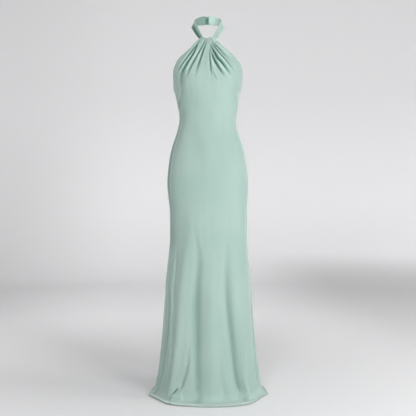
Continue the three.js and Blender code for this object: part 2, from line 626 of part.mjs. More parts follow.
function endRows(rows, offset) {
  const seat = ([x, z]) => [x, frontSurfaceY(x, z) + offset, z];
  return rows.map((row) => ({ top: seat(row.top), bottom: seat(row.bottom) }));
}

// The band's middle surface at the nape, and the tab that follows it from outside.
const napeY = (x) => NAPE_DEPTH + STRAP.backThickness / 2 - (x * x) / NAPE_ARC;
const tabY = (x) => napeY(x) + STRAP.backThickness / 2 + NAPE_CLEAR + TAB.thickness / 2;

function closureTab() {
  const loops = evenly(TAB.steps, TAB.left, TAB.right).map((x) => {
    const near = tabY(x) - TAB.thickness / 2;
    const far = tabY(x) + TAB.thickness / 2;
    return [
      new THREE.Vector3(x, near, TAB.bottom),
      new THREE.Vector3(x, near, TAB.top),
      new THREE.Vector3(x, far, TAB.top),
      new THREE.Vector3(x, far, TAB.bottom),
    ];
  });
  return tubeOf(loops);
}

// A short wire through points, round and closed at both ends.
function wire(points) {
  const ring = new THREE.Shape().absarc(0, 0, WIRE, 0, Math.PI * 2);
  const options = { curveSegments: WIRE_SIDES, steps: WIRE_STEPS, bevelEnabled: false };
  return new THREE.ExtrudeGeometry(ring, { ...options, extrudePath: curveThrough(points) });
}

// The eye: a loop sewn on the tab, open towards the left, with its apex towards the right strap.
function eye(z) {
  const y = tabY(EYE.root) - TAB.thickness / 2 - CLEAR - WIRE;
  const apex = EYE.root + EYE.reach;
  return wire([
    [EYE.root, y, z - EYE.halfHeight],
    [EYE.root + EYE.shoulder, y, z - EYE.halfHeight],
    [apex, y, z],
    [EYE.root + EYE.shoulder, y, z + EYE.halfHeight],
    [EYE.root, y, z + EYE.halfHeight],
  ]);
}

// The hook: a wire on the inside of the right strap that reaches past the eye's apex and bends in through it.
function hook(z) {
  const face = napeY(HOOK.root) - STRAP.backThickness / 2 - NAPE_CLEAR - WIRE;
  const past = napeY(0) - STRAP.backThickness / 2 - NAPE_CLEAR - WIRE;
  return wire([
    [HOOK.root, face, z],
    [HOOK.root / 2, mix(face, past, 0.5), z],
    [0, past, z],
    [HOOK.tip + HOOK.bend, past, z],
    [HOOK.tip, past + HOOK.depth / 2, z],
    [HOOK.tip + HOOK.bend / 4, past + HOOK.depth, z],
  ]);
}

const dress = new THREE.Group();
dress.position.set(0, -NAPE_DEPTH, -NAPE_HEIGHT);

function add(name, geometry, material) {
  const mesh = new THREE.Mesh(geometry, material);
  mesh.name = name;
  dress.add(mesh);
}

add("front_panel", frontPanel(), MINT);
add("back_panel", backPanel(), MINT);
add("strap_left", strap([...STRAP_LEFT, ...endRows(STRAP_LEFT_END, BEHIND_FRONT)]), MINT);
add("strap_right", strap([...STRAP_RIGHT, ...endRows(STRAP_RIGHT_END, ON_FRONT)]), MINT);
add("closure_tab", closureTab(), MINT);
for (const [place, z] of Object.entries(FASTENER_HEIGHTS)) {
  add(`eye_${place}`, eye(z), METAL);
  add(`hook_${place}`, hook(z), METAL);
}

export default dress;
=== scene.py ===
"""A floor-length halter dress in mint stretch jersey, filled out as it hangs when it is worn.

The cloth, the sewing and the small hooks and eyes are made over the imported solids, in their frame.
Tables and shapes are in millimetres, with X and Y from the middle of the body and Z from the floor up.
They become metres, with the origin on the inside of the band at the nape, when a mesh is made.
"""

import math

import bpy
import numpy as np
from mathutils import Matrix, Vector


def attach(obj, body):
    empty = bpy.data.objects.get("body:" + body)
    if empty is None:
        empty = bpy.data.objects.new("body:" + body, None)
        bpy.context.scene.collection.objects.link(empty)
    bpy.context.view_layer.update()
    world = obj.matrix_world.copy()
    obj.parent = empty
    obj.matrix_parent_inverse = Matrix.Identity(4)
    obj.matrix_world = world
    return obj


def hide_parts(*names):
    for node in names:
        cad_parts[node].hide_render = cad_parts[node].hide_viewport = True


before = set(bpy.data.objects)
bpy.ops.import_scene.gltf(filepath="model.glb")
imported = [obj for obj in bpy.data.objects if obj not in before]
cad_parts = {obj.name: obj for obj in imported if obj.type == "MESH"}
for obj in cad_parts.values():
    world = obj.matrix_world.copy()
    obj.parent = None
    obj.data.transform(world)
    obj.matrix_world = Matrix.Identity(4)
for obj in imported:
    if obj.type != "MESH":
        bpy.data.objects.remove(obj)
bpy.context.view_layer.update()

bl_info = {
    "name": "High neck dress",
    "version": (1, 0, 0),
    "blender": (4, 5, 0),
    "location": "View3D > Sidebar > Dress",
    "description": "Makes a halter dress in jersey, piece by piece, over its packed solids",
    "category": "Add Mesh",
}

# The dress's own measures.

MM = 0.001
NAPE_HEIGHT = 1476
NAPE_DEPTH = 65
LIE = 1.3
UNDERARM = 1193
BREAK = 46
CHEST_TOP = 1368

# Height, left and right half widths, front depth, how far forward the front's own edge stands,
# degrees that the front covers on each side, and back depth.
SECTIONS = (
    (1380, 30, 24, 69, 67, 16, 88),
    (1368, 36, 31.5, 73, 70, 20, 88),
    (1348, 55.5, 50, 80, 72, 28, 88),
    (1333, 68, 66.5, 85, 72, 35, 88),
    (1318, 86, 84, 90, 70, 43, 88),
    (1304, 102, 100.5, 95, 66, 50, 88),
    (1290, 117, 113, 99, 61, 57, 88),
    (1276, 125, 124.5, 103, 54, 63, 88),
    (1264, 131, 130, 105, 46, 68, 88),
    (1250, 135, 134, 106.5, 36, 74, 89),
    (1222, 136.5, 135, 107, 13, 84, 90),
    (1193, 136.5, 132.5, 105, 0, 90, 90),
    (1161, 128, 121.5, 101, 0, 90, 86),
    (1130, 121, 119, 96, 0, 90, 81),
    (1098, 115, 115, 91, 0, 90, 77),
    (1067, 112, 111, 88.5, 0, 90, 75),
    (1035, 117, 114.5, 89.5, 0, 90, 78),
    (1004, 126, 123, 93, 0, 90, 86),
    (956, 142, 138, 98, 0, 90, 100),
    (909, 152, 147.5, 102, 0, 90, 112),
    (862, 158, 154.5, 104, 0, 90, 117),
    (815, 161, 157.5, 104, 0, 90, 115),
    (767, 157.5, 155.5, 104, 0, 90, 110),
    (704, 151, 153, 104, 0, 90, 105),
    (610, 150, 153.5, 106, 0, 90, 105),
    (547, 154, 155.5, 109, 0, 90, 110),
    (484, 161, 162, 113, 0, 90, 117),
    (421, 167, 168, 117, 0, 90, 125),
    (326, 170, 173.5, 125, 0, 90, 137),
    (231, 174, 180.5, 134, 0, 90, 150),
    (137, 182.5, 187.5, 143, 0, 90, 163),
    (74, 190.5, 196.5, 149, 0, 90, 171),
    (46, 198, 201, 152, 0, 90, 175),
)
SECTION_PARTS = ("z", "left", "right", "front", "edge", "turn", "back")
FLOOR_RING = {"left": 206, "right": 210, "front": 160, "back": 186}

# The hem's rim on the floor: angle from the front centre line, then X and Y.
HEM_RIM = (
    (-180, 0, 238), (-160, -82, 230), (-140, -148, 184), (-122, -196, 122), (-105, -216, 51),
    (-90, -223, 0), (-75, -227, -59), (-58, -190, -127), (-43, -142, -190), (-22, -70, -212),
    (0, 0, -221), (18, 66, -217), (36, 127, -202), (48, 166, -170), (62, 204, -100),
    (78, 233, -42), (90, 230, 0), (106, 220, 56), (122, 200, 126), (142, 140, 188),
    (162, 70, 226), (180, 0, 238),
)
FULLER = 0.04
BEND_SHARE = 0.62
BEND_REACH = 0.45

# The front's top edge: place across from -1 to 1, and height.
NECKLINE = ((-1, 1366), (-0.6, 1373), (-0.15, 1369), (0.28, 1373), (0.55, 1369), (1, 1362))
TWIST_PLACE = 0.13
CROWD_LEFT = 1.8
CROWD_RIGHT = 2.5
FAN_FOOT = 1238
BACK_LOW = 1098
BACK_RISE = 2.3
BACK_EASE = 1010

# Gathers at the throat, seen from the front: heights from top to bottom, then X, half width and how far
# the cloth goes in (below zero) or stands out, at each. The heights and places began as the rounded output
# of a separate program, which worked them out from dark lines measured in the photo. Many were moved later.
GATHERS = (
    ((1345, 1329, 1298, 1266, 1246), (-42, -56, -77.5, -101, -116), (2.8, 3.2, 3.6, 4, 5),
     (-4, -8, -9, -8, -4)),
    ((1372, 1360, 1340, 1314, 1289, 1264, 1235, 1200, 1150),
     (-22, -33, -42.5, -54, -68.5, -83.5, -98, -102, -98), (2, 2.8, 3.2, 3.6, 4, 5.5, 10, 13, 14),
     (-1.5, -5, -8, -11.5, -11.5, -9, -4.5, -3, -1)),
    ((1372, 1358, 1334, 1310, 1286, 1261, 1238, 1220), (-2, -12, -23, -36.5, -48.7, -61.3, -72, -80),
     (2, 2.4, 3, 3, 3.4, 4, 5, 6), (-1.5, -5, -7, -8, -8, -7, -5, -1)),
    ((1366, 1350, 1334, 1325, 1302, 1276, 1251, 1222),
     (-1, -7.5, -12, -16.2, -23.5, -31.5, -39.5, -48.5), (2, 2.2, 2.6, 3, 3.2, 3.6, 4.5, 6),
     (-2, -5, -8, -9, -9, -7.5, -5, -1)),
    ((1350, 1338, 1300, 1275, 1250, 1228, 1205), (10, 8, 6.5, 8.5, 10.5, 12, 12.5),
     (2.4, 3, 3.4, 3.8, 4.2, 5, 6), (-1, -4, -5.5, -6.5, -6, -4, 0)),
    ((1318, 1292, 1276, 1260, 1244, 1226, 1212), (12, 20, 27, 35.5, 45, 56, 63.5),
     (3, 4.6, 5.4, 5.2, 5.2, 5.8, 6.8), (-3, -10, -10, -9, -7.5, -4.4, -1)),
    ((1346, 1326, 1311, 1293, 1277, 1261, 1240, 1222), (10.5, 18, 26, 35, 48, 60, 75, 87),
     (2.8, 4, 5, 5.6, 6, 6, 6.2, 7), (-3, -9, -11, -11, -9.5, -7.5, -4.6, -1)),
    ((1352, 1334, 1318, 1302, 1286, 1269, 1250, 1234), (14.5, 27.5, 38.5, 51, 65, 78, 94, 105),
     (2.6, 3.2, 3.4, 4, 4.6, 5, 5.8, 6.8), (-4, -8, -8, -7, -6.5, -5.4, -3, -0.5)),
    ((1358, 1342, 1326, 1310, 1294, 1274), (17, 32, 46, 59, 75, 91), (2.4, 3, 3.4, 4, 4.5, 5.5),
     (-3, -6.5, -6.5, -5.5, -4, 0)),
    ((1236, 1228, 1212, 1200), (16, 20.5, 28, 34), (2.6, 3.4, 3.8, 4.4), (0, -4.5, -4, 0)),
    ((1252, 1230, 1208, 1186), (28, 37, 44, 54), (5, 8, 9, 9), (0, -1.6, -1.6, 0)),
    ((1372, 1364, 1356, 1342), (16, 6, 2, -2), (1.8, 2, 2, 2.6), (-1, -2.5, -2.5, 0)),
    ((1372, 1357, 1344), (-15, -26, -33), (1.8, 2, 2.6), (-1, -3, 0)),
    ((1362, 1340, 1312, 1290), (27, 47, 76, 100), (3, 5, 8, 10), (0, 0.8, 0.8, 0)),
)
GATHER_SHARP = 1.5
GATHER_BROAD = (4.5, 8)
GATHER_DEEPER = 1.35
GATHER_RIDGE = 0.38
# Depths in millimetres at which the painted shade deep in a gather, and the painted highlight on its crest,
# are full.
GATHER_SHADE_DEPTH = 6.5
GATHER_HIGHLIGHT_HEIGHT = 2.5
# Depth in millimetres at which the painted shade in a fold is full.
FOLD_SHADE_DEPTH = 27
# Painted shade down the left side: its angle and half width in degrees, its share, and the heights where it
# fades in and out, with how far each fade runs.
SIDE_SHADE = {"angle": -76, "width": 15, "share": 0.46, "low": 480, "rise": 160, "high": 1180, "drop": 60}
# Painted highlight on a band of the cloth lying on the floor and painted shade at its rim, by share of the
# run from the wall to the rim.
FLOOR_SHADE_AND_HIGHLIGHT = ((0, 0.3, 0.62, 0.8, 1), (0, -0.35, -0.45, 0.1, 0.4))
TWIST = {"x": 11, "z": 1352, "lean": 0.16, "over": 4, "under": -3, "soften": 1.6, "fade": 46, "width": 48}
FULLNESS = {"x": 68, "z": 1226, "width": 44, "height": 48, "depth": 7}

# Folds below the arm: heights from top to bottom, then angle, half width and depth at each. Rows at the
# front with uneven heights began as the output of a separate program, as in GATHERS, and were moved later.
FOLDS = (
    ((1178, 1140, 1098), (-46, -58, -76), (5, 6, 4), (-1, -6, -2)),
    ((1170, 1140, 1100), (47, 58, 74), (5, 6, 4), (-1, -5, -2)),
    ((1186, 1150, 1110), (-66, -74, -84), (6, 6, 4), (-1, -3, -1)),
    ((660, 599, 508, 374, 240, 130, 65, 0), (-22, -17.5, -13.2, -14.2, -13.8, -13, -12, -12),
     (6, 7, 11, 14, 16, 15, 15, 14), (0, -2.4, -8.5, -12.5, -13, -12, -11, -8)),
    ((420, 335, 252, 180), (-21, -21, -21.5, -22), (9, 10, 10, 8), (0, -2.5, -3, 0)),
    ((740, 640, 590, 482, 335, 252, 138, 60, 10), (-27, -27, -29, -33, -37, -38, -41, -42, -42),
     (14, 15, 17, 20, 20, 19, 17, 15, 14), (0, 2.4, 5, 7, 8, 9, 9, 8, 6)),
    ((580, 482, 414, 322, 231, 142, 90), (-50, -48, -48.5, -48.5, -50, -47.5, -46.5),
     (7, 6, 5, 5, 4.5, 4.5, 4.5), (0, -4, -4, -4, -3.5, -3, 0)),
    ((560, 420, 200, 0), (5, 4.5, 4, 4), (14, 16, 20, 22), (0, 4, 6, 5)),
    ((620, 553, 462, 372, 282, 214, 140, 73, 0), (25, 25.5, 26, 26.5, 28.7, 30.5, 32, 33.6, 39),
     (7, 10, 14, 16, 15, 14, 12, 11.5, 11), (0, -4, -10, -13, -14, -14, -13.5, -13.5, -12)),
    ((450, 300, 150, 60, 0), (47, 46, 43.5, 42.5, 47), (14, 15, 12, 10, 11), (0, 5, 9, 10, 7)),
    ((470, 400, 300, 150, 40), (77, 77, 78, 76, 70), (12, 14, 15, 16, 13), (0, -3, -5, -7, -5)),
    ((610, 540, 455, 362, 247, 137, 60, 0), (-61, -63, -68, -64.5, -66, -69.5, -71, -71),
     (9, 10, 11, 13, 14, 14, 14, 14), (0, -5, -12, -18, -20, -19, -17, -10)),
    ((1130, 1000, 800, 640, 520), (-70, -72, -72, -70, -66), (16, 24, 26, 22, 16), (0, -4, -5, -4, 0)),
    ((455, 362, 247, 137, 60), (-59, -52, -53, -52.5, -51), (6, 5, 5, 6, 6), (0, 1.5, 1.5, 3, 1)),
    ((430, 300, 120, 0), (-90, -88, -86, -84), (12, 13, 14, 15), (0, 3, 6, 5)),
    ((240, 190, 150, 105, 61, 40), (-23, -23.5, -24.3, -26.4, -29.7, -31), (5, 6, 7, 7, 6, 5),
     (0, -2, -5, -8, -8, -3)),
    ((175, 150, 109, 65, 10), (13.5, 13.5, 13.8, 14.7, 18.7), (6, 8, 9, 9, 9), (0, -2, -4, -4, -3)),
    ((650, 610, 570), (-7, -7, -7), (4, 5, 4), (0, -1.2, 0)),
    ((1050, 988, 930, 870), (-36, -27, -18, -8), (18, 24, 24, 18), (0, -3.4, -2.6, 0)),
    ((430, 300, 120, 0), (86, 84, 82, 80), (13, 14, 16, 16), (0, 3, 6, 5)),
    ((560, 400, 200, 0), (112, 112, 111, 110), (14, 18, 20, 20), (0, -6, -10, -9)),
    ((540, 400, 200, 0), (132, 131, 130, 128), (18, 20, 24, 24), (0, 4, 7, 5)),
    ((620, 460, 240, 0), (152, 152, 151, 148), (12, 16, 20, 22), (0, -7, -12, -11)),
    ((600, 420, 200, 0), (173, 173, 172, 170), (18, 22, 26, 26), (0, 4, 8, 6)),
    ((640, 480, 260, 0), (-162, -163, -164, -166), (12, 16, 20, 22), (0, -7, -12, -9)),
    ((540, 400, 200, 0), (-140, -140, -141, -142), (18, 20, 22, 24), (0, 4, 7, 6)),
    ((560, 400, 200, 0), (-119, -118, -116, -114), (12, 16, 18, 20), (0, -6, -11, -9)),
    ((1060, 1030, 1000), (128, 150, 168), (7, 8, 8), (0, -3, 0)),
    ((1060, 1030, 1000), (-128, -150, -168), (7, 8, 8), (0, -3, 0)),
)

# Where the extra length folds over itself at the floor: the angle of the apex and of its left and right
# foot, how far the apex is above the floor ring along the cloth, and its height.
HEM_TENTS = (
    (-30.7, -46, -24, 54, 13),
    (-4, -8, 1, 8, 4),
    (33.5, 30, 37, 10, 5),
    (46, 41, 51, 20, 8),
    (76, 68, 84, 26, 7),
    (-70, -79, -60, 24, 6),
    (116, 105, 126, 30, 4),
    (158, 150, 170, 28, 9),
    (-152, -162, -142, 28, 9),
    (-112, -123, -100, 30, 4),
)
TENT_FOOT = 22
TENT_END = 14
TENT_FADE = 30
TENT_EDGE = 1.2
TENT_CRISP = 12
TENT_LINE = 0.9
TENT_CROWN = 1.5
RIM_RUN = 72
FLOOR_FADE = 0.8

# The straps' top and bottom edges from the nape to the twist, then their ends, seen from the front.
STRAP_LEFT = (
    ((-10.5, 65.3, 1494), (-10.5, 65.6, 1458)),
    ((-31, 59.6, 1489), (-32, 60.5, 1455)),
    ((-47, 45, 1478), (-49, 46, 1449)),
    ((-54, 20, 1463), (-61, 22, 1440)),
    ((-52, -5, 1449), (-65, -5, 1428)),
    ((-41.5, -28, 1430), (-57, -32, 1408)),
    ((-31, -47, 1403), (-46, -50, 1387)),
)
STRAP_RIGHT = (
    ((2.8, 65.9, 1494), (2.8, 66.2, 1458)),
    ((30, 60, 1489), (31, 61, 1455)),
    ((46, 46, 1479), (48, 47, 1450)),
    ((53, 20, 1465), (61, 22, 1441)),
    ((49, -5, 1449), (66, -5, 1431)),
    ((40, -28, 1425), (57, -33, 1407)),
    ((29, -54, 1398), (44, -62, 1382)),
)
STRAP_LEFT_END = (((-20, 1379), (-35, 1370)), ((-12, 1364), (-24, 1356)))
STRAP_RIGHT_END = (((19, 1379), (35, 1367)), ((12.5, 1371), (28, 1358.5)), ((14, 1363), (22, 1356.5)))
BAND_THICK = 2
GATHERED_THICK = 3.4
END_THICK = 1.6
RIDGES = 3
RIDGE_HEIGHT = 1.1
GATHER_FROM = 0.35
GATHER_RUN = 0.3
END_FROM = 0.86
FLATTENED = 0.8
CLEAR = 0.35
GATHER_ROOM = 4.1
ON_FRONT = -(END_THICK + RIDGE_HEIGHT) / 2 - CLEAR
BEHIND_FRONT = 2 + GATHERED_THICK / 2 + GATHER_ROOM

TAB = {"left": -18, "right": 9, "top": 1492, "bottom": 1460, "thick": 1.2}
NAPE_ARC = 150
NAPE_CLEAR = 0.6
WIRE = 0.45
EYE = {"root": -9, "reach": 5.5, "shoulder": 3.3, "half": 2.6}
HOOK = {"root": 8, "tip": -5.2, "bend": 1.2, "depth": 1.6}
FASTENER_HEIGHTS = {"upper": 1486, "lower": 1466}


# Sums that shape the cloth.

def mix(a, b, t):
    return a + (b - a) * t


def ease(t):
    t = np.clip(t, 0, 1)
    return t * t * (3 - 2 * t)


def smooth_at(keys, values, key):
    """Values between a table's rows, on a smooth curve that never swings past them."""
    k = np.array(keys, float)
    v = np.array(values, float)
    if k[-1] < k[0]:
        k, v = k[::-1], v[::-1]
    run = np.diff(k)
    slope = np.diff(v) / run
    product = slope[:-1] * slope[1:]
    total = slope[:-1] + slope[1:]
    middle = np.where(product > 0, 2 * product / np.where(total == 0, 1, total), 0)
    tangent = np.concatenate(([slope[0]], middle, [slope[-1]]))
    key = np.clip(np.asarray(key, float), k[0], k[-1])
    i = np.clip(np.searchsorted(k, key, side="right") - 1, 0, len(run) - 1)
    t = (key - k[i]) / run[i]
    t2, t3 = t * t, t * t * t
    return (
        (2 * t3 - 3 * t2 + 1) * v[i] + (t3 - 2 * t2 + t) * tangent[i] * run[i]
        + (3 * t2 - 2 * t3) * v[i + 1] + (t3 - t2) * tangent[i + 1] * run[i]
    )


def column(table, place):
    return [row[place] for row in table]


def section_at(part, z):
    return smooth_at(column(SECTIONS, 0), column(SECTIONS, SECTION_PARTS.index(part)), z)


def body_ring(z):
    return {part: section_at(part, z) for part in FLOOR_RING}


def place_across(u, z):
    """Place across the front of a column of the cloth, crowded towards the twist above the bust."""
    gathered = ease((z - FAN_FOOT) / (CHEST_TOP - FAN_FOOT))
    centre = TWIST_PLACE * gathered
    power = mix(1, np.where(u < 0, CROWD_LEFT, CROWD_RIGHT), gathered)
    reach = np.abs(u) ** power
    return np.where(u < 0, centre - (1 + centre) * reach, centre + (1 - centre) * reach)


def fuller(angle, z):
    """The body's sections are a little fuller than ovals between the front and the sides."""
    return 1 + FULLER * ease((1250 - z) / 120) * np.sin(2 * angle) ** 2


def front_section(place, z):
    turn = np.radians(section_at("turn", z))
    half = np.where(place < 0, section_at("left", z), section_at("right", z))
    fall = (1 - np.cos(turn * place)) / (1 - np.cos(turn))
    y = -mix(section_at("front", z), section_at("edge", z), fall)
    grown = fuller(turn * place, z)
    return np.stack([grown * half * np.sin(turn * place) / np.sin(turn), grown * y, z + 0 * y], -1)


def ring_point(ring, angle, z):
    x = np.where(angle < 0, ring["left"], ring["right"]) * np.sin(np.radians(angle))
    y = -np.where(np.abs(angle) <= 90, ring["front"], ring["back"]) * np.cos(np.radians(angle))
    grown = fuller(np.radians(angle), z)
    return np.stack([grown * x, grown * y, z + 0 * x], -1)


def floor_point(angle, share):
    """The turn of the cloth on the floor, from the wall at 0 to the rim at 1."""
    wall = ring_point(body_ring(BREAK), angle, BREAK)
    corner = ring_point(FLOOR_RING, angle, LIE)
    rim = np.stack([smooth_at(column(HEM_RIM, 0), column(HEM_RIM, axis), angle) for axis in (1, 2)], -1)
    rim = np.concatenate([rim, np.full(rim.shape[:-1] + (1,), LIE)], -1)
    flat = mix(corner, rim, BEND_REACH)
    t = np.clip(share / BEND_SHARE, 0, 1)[..., None]
    bend = (1 - t) ** 2 * wall + 2 * t * (1 - t) * corner + t * t * flat
    run = ((share - BEND_SHARE) / (1 - BEND_SHARE))[..., None]
    return np.where(share[..., None] > BEND_SHARE, mix(flat, rim, run), bend)


def gather_at(gather, x, z):
    heights, places, widths, depths = gather
    slope = (smooth_at(heights, places, z + 2) - smooth_at(heights, places, z - 2)) / 4
    apart = (x - smooth_at(heights, places, z)) / np.hypot(1, slope)
    fade = ease((heights[0] + 5 - z) / 5) * ease((z - heights[-1] + 12) / 12)
    width = smooth_at(heights, widths, z)
    apart = np.abs(apart) / width
    narrow, broad = GATHER_BROAD
    sharp = mix(GATHER_SHARP, 2, ease((width - narrow) / (broad - narrow)))
    profile = GATHER_DEEPER * np.exp(-apart ** sharp) - GATHER_RIDGE * np.exp(-(apart / 2.3) ** 2)
    return smooth_at(heights, depths, z) * fade * profile


def twist_step(x, z):
    """The step between the two halves of the front at the twist: the left stands over the right."""
    line = TWIST["x"] - (TWIST["z"] - z) * TWIST["lean"]
    side = np.tanh((x - line) / TWIST["soften"])
    height = mix(TWIST["over"], TWIST["under"], (side + 1) / 2)
    fade = ease((z - TWIST["z"] + TWIST["fade"]) / TWIST["fade"])
    return height * fade * np.exp(-(x / TWIST["width"]) ** 2)


def fullness_at(x, z):
    lobes = sum(np.exp(-((x - side * FULLNESS["x"]) / FULLNESS["width"]) ** 2) for side in (-1, 1))
    return FULLNESS["depth"] * lobes * np.exp(-((z - FULLNESS["z"]) / FULLNESS["height"]) ** 2)


def chest_lift(x, z):
    return sum(gather_at(gather, x, z) for gather in GATHERS) + twist_step(x, z) + fullness_at(x, z)


def chest_painted_shading(x, z):
    """Painted shade by how deep in a gather the cloth lies, up to 1; below zero, painted highlight where it
    stands out.
    """
    depth = -sum(gather_at(gather, x, z) for gather in GATHERS)
    return np.where(depth > 0, depth / GATHER_SHADE_DEPTH, depth / GATHER_HIGHLIGHT_HEIGHT)


def turned_by(angle, centre):
    return (angle - centre + 180) % 360 - 180


def folds_at(angle, z, inward=False):
    """How far the folds stand out, or with inward how deep the cloth lies in them."""
    ring = body_ring(np.maximum(z, BREAK))
    side = np.where(angle < 0, ring["left"], ring["right"])
    radius = 0.5 * (side + np.where(np.abs(angle) <= 90, ring["front"], ring["back"]))
    total = 0
    for heights, angles, widths, depths in FOLDS:
        apart = np.radians(turned_by(angle, smooth_at(heights, angles, z))) * radius
        depth = smooth_at(heights, depths, z) * np.exp(-(apart / smooth_at(heights, widths, z)) ** 2)
        gone = (z > heights[0]) | ((z < heights[-1]) & (heights[-1] > 0))
        depth = np.maximum(-depth, 0) if inward else depth
        total = total + np.where(gone, 0, depth)
    return total


def tents_at(angle, fall):
    total = 0
    for apex, left, right, rise, height in HEM_TENTS:
        apart = turned_by(angle, apex)
        opening = (fall + rise) / (rise + TENT_FOOT)
        spread = np.clip(opening, 0, 1)
        foot = np.where(apart < 0, (apex - left) * spread, (right - apex) * spread)
        leg = (foot + TENT_EDGE + apart) / (2 * TENT_EDGE)
        crisp = np.where((apart < 0) & (height > TENT_CRISP), leg, 0)
        across = np.maximum(1 - np.abs(apart) / (foot + TENT_EDGE), np.minimum(crisp, 1))
        sink = ease((TENT_END - fall) / TENT_FADE)
        rise_now = height * sink * ease(opening * TENT_CROWN) * ease(across * TENT_CROWN)
        total = total + np.where(opening > 0, rise_now, 0)
    return total


def tent_shade(angle, fall):
    """A line of painted shade under the left leg of a fold that lies over itself."""
    total = 0
    for apex, left, _, rise, height in HEM_TENTS:
        opening = (fall + rise) / (rise + TENT_FOOT)
        leg = turned_by(angle, apex) + (apex - left) * np.clip(opening, 0, 1) + TENT_LINE
        line = np.exp(-(leg / TENT_LINE) ** 2) * ease(opening * 4) * ease((6 - fall) / 12)
        total = total + np.where((opening > 0) & (height > TENT_CRISP), line, 0)
    return total


def floor_lift(angle, share, z):
    folds = folds_at(angle, z) * (1 - ease(share / FLOOR_FADE))
    return folds + tents_at(angle, mix(-BREAK, RIM_RUN, share))


# The two panels.

def front_plain(u, v):
    """The front panel before its folds: v is 1 at the underarm, 2 at the break and 3 at the rim."""
    top = smooth_at(column(NECKLINE, 0), column(NECKLINE, 1), place_across(u, CHEST_TOP + 0 * u))
    z_top = mix(top, UNDERARM, v)
    upper = front_section(place_across(u, z_top), z_top)
    lower = front_section(u, mix(UNDERARM, BREAK, np.clip(v - 1, 0, 1)))
    ground = floor_point(u * 90, np.clip(v - 2, 0, 1.1))
    v = v[..., None]
    return np.where(v > 2, ground, np.where(v > 1, lower, upper))


def front_lift(u, v, plain):
    x, z = plain[..., 0], plain[..., 2]
    chest = chest_lift(x, z)
    wall = folds_at(u * 90, z) + chest + tents_at(u * 90, -z)
    return np.where(v > 2, floor_lift(u * 90, v - 2, z), np.where(z > UNDERARM, chest, wall))


def side_shade(angle, z):
    """Painted shade down the left side, where it turns away from the front."""
    side = np.exp(-((angle - SIDE_SHADE["angle"]) / SIDE_SHADE["width"]) ** 2)
    below = ease((z - SIDE_SHADE["low"]) / SIDE_SHADE["rise"])
    above = ease((SIDE_SHADE["high"] - z) / SIDE_SHADE["drop"])
    return SIDE_SHADE["share"] * side * below * above


# Painted shade on the front panel: deep in its gathers and folds, under a fold's left leg at the hem, down
# its left side and at its rim on the floor; below zero, painted highlight on the gathers' crests and on a
# band of the floor cloth.
def front_painted_shading(u, v, plain):
    x, z = plain[..., 0], plain[..., 2]
    folds = folds_at(u * 90, z, inward=True) / FOLD_SHADE_DEPTH * (1 - ease(v - 2))
    floor = smooth_at(*FLOOR_SHADE_AND_HIGHLIGHT, v - 2) + tent_shade(u * 90, mix(-BREAK, RIM_RUN, v - 2))
    folds = folds + tent_shade(u * 90, -z) + side_shade(u * 90, z)
    return np.clip(np.where(v > 2, floor, chest_painted_shading(x, z)) + np.where(z > UNDERARM, 0, folds), -1, 1)


def back_angle(u):
    return np.where(u < 0, 1, -1) * (180 - 90 * np.abs(u))


def back_plain(u, v):
    angle = back_angle(u)
    top = mix(BACK_LOW, UNDERARM, np.clip(np.abs(u), 0, 1) ** BACK_RISE)
    z = np.where(v > 1, mix(BACK_EASE, BREAK, np.clip(v - 1, 0, 1)), mix(top, BACK_EASE, v))
    ground = floor_point(angle, np.clip(v - 2, 0, 1.1))
    return np.where(v[..., None] > 2, ground, ring_point(body_ring(z), angle, z))


def back_lift(u, v, plain):
    angle, z = back_angle(u), plain[..., 2]
    wall = folds_at(angle, z) + tents_at(angle, -z)
    return np.where(v > 2, floor_lift(angle, v - 2, z), wall)


# Painted shade on the back panel, deep in its folds and at its rim on the floor; below zero, painted
# highlight on a band of the floor cloth.
def back_painted_shading(u, v, plain):
    folds = folds_at(back_angle(u), plain[..., 2], inward=True) / FOLD_SHADE_DEPTH
    return np.clip(folds * (1 - ease(v - 2)) + smooth_at(*FLOOR_SHADE_AND_HIGHLIGHT, v - 2), -1, 1)


def surface_normal(plain, u, v):
    step = 1e-3
    across = plain(u + step, v) - plain(u - step, v)
    down = plain(u, v + step) - plain(u, v - step)
    out = np.cross(down, across)
    return out / np.linalg.norm(out, axis=-1, keepdims=True)


# Finishing that the solids leave out.

# How far an edge is turned under, and how far in its row of stitches runs.
ARMHOLE_TURN = 9
BACK_TURN = 9
HEM_TURN = 16
DOUBLED_OVER = 1.5
DOUBLED_HIGHER = 0.22
STITCH_DENT = {"in": 2, "depth": 0.28, "width": 0.9}

# The side seam: a groove at the join, the bulk of its turned edges beside it, and its slight puckering.
SEAM_GROOVE = {"depth": 1.0, "width": 1.7}
SEAM_BULK = {"in": 5, "height": 0.3, "width": 2.5}
SEAM_PUCKER = {"in": 2, "height": 0.25, "width": 9, "short": 2.9, "long": 11}

# Where the hem's rim is lifted off the floor: angle, half width in degrees and height.
RIM_LIFTS = (
    (-74, 16, 3.5), (-48, 14, 4), (-24, 12, 2), (12, 16, 1.5), (40, 12, 2.5), (70, 12, 3),
    (104, 15, 3), (146, 18, 3), (-176, 20, 2), (-134, 18, 3), (-104, 12, 2),
)

# Long, faint unevenness of the hanging cloth: how many waves round the dress, how long each is down it,
# its phase and its height.
SOFT_WAVES = ((7, 900, 0.3, 0.7), (13, 520, 2.1, 0.35), (5, 430, 5.2, 0.5))


def grid(us, vs):
    v, u = np.meshgrid(np.asarray(vs, float), np.asarray(us, float), indexing="ij")
    return u, v


def run_along(points, axis):
    """Distance run from the first point of each row or column of a grid."""
    step = np.linalg.norm(np.diff(points, axis=axis), axis=-1)
    start = np.zeros_like(np.take(step, [0], axis))
    return np.concatenate([start, np.cumsum(step, axis)], axis)


def roll_in(distance, thick):
    """How far each face of an edge draws in, so that the edge closes in a round."""
    t = np.clip(2 * distance / thick, 0, 1)
    return 0.46 * thick * (1 - np.sqrt(np.clip(1 - (1 - t) ** 2, 0, 1)))


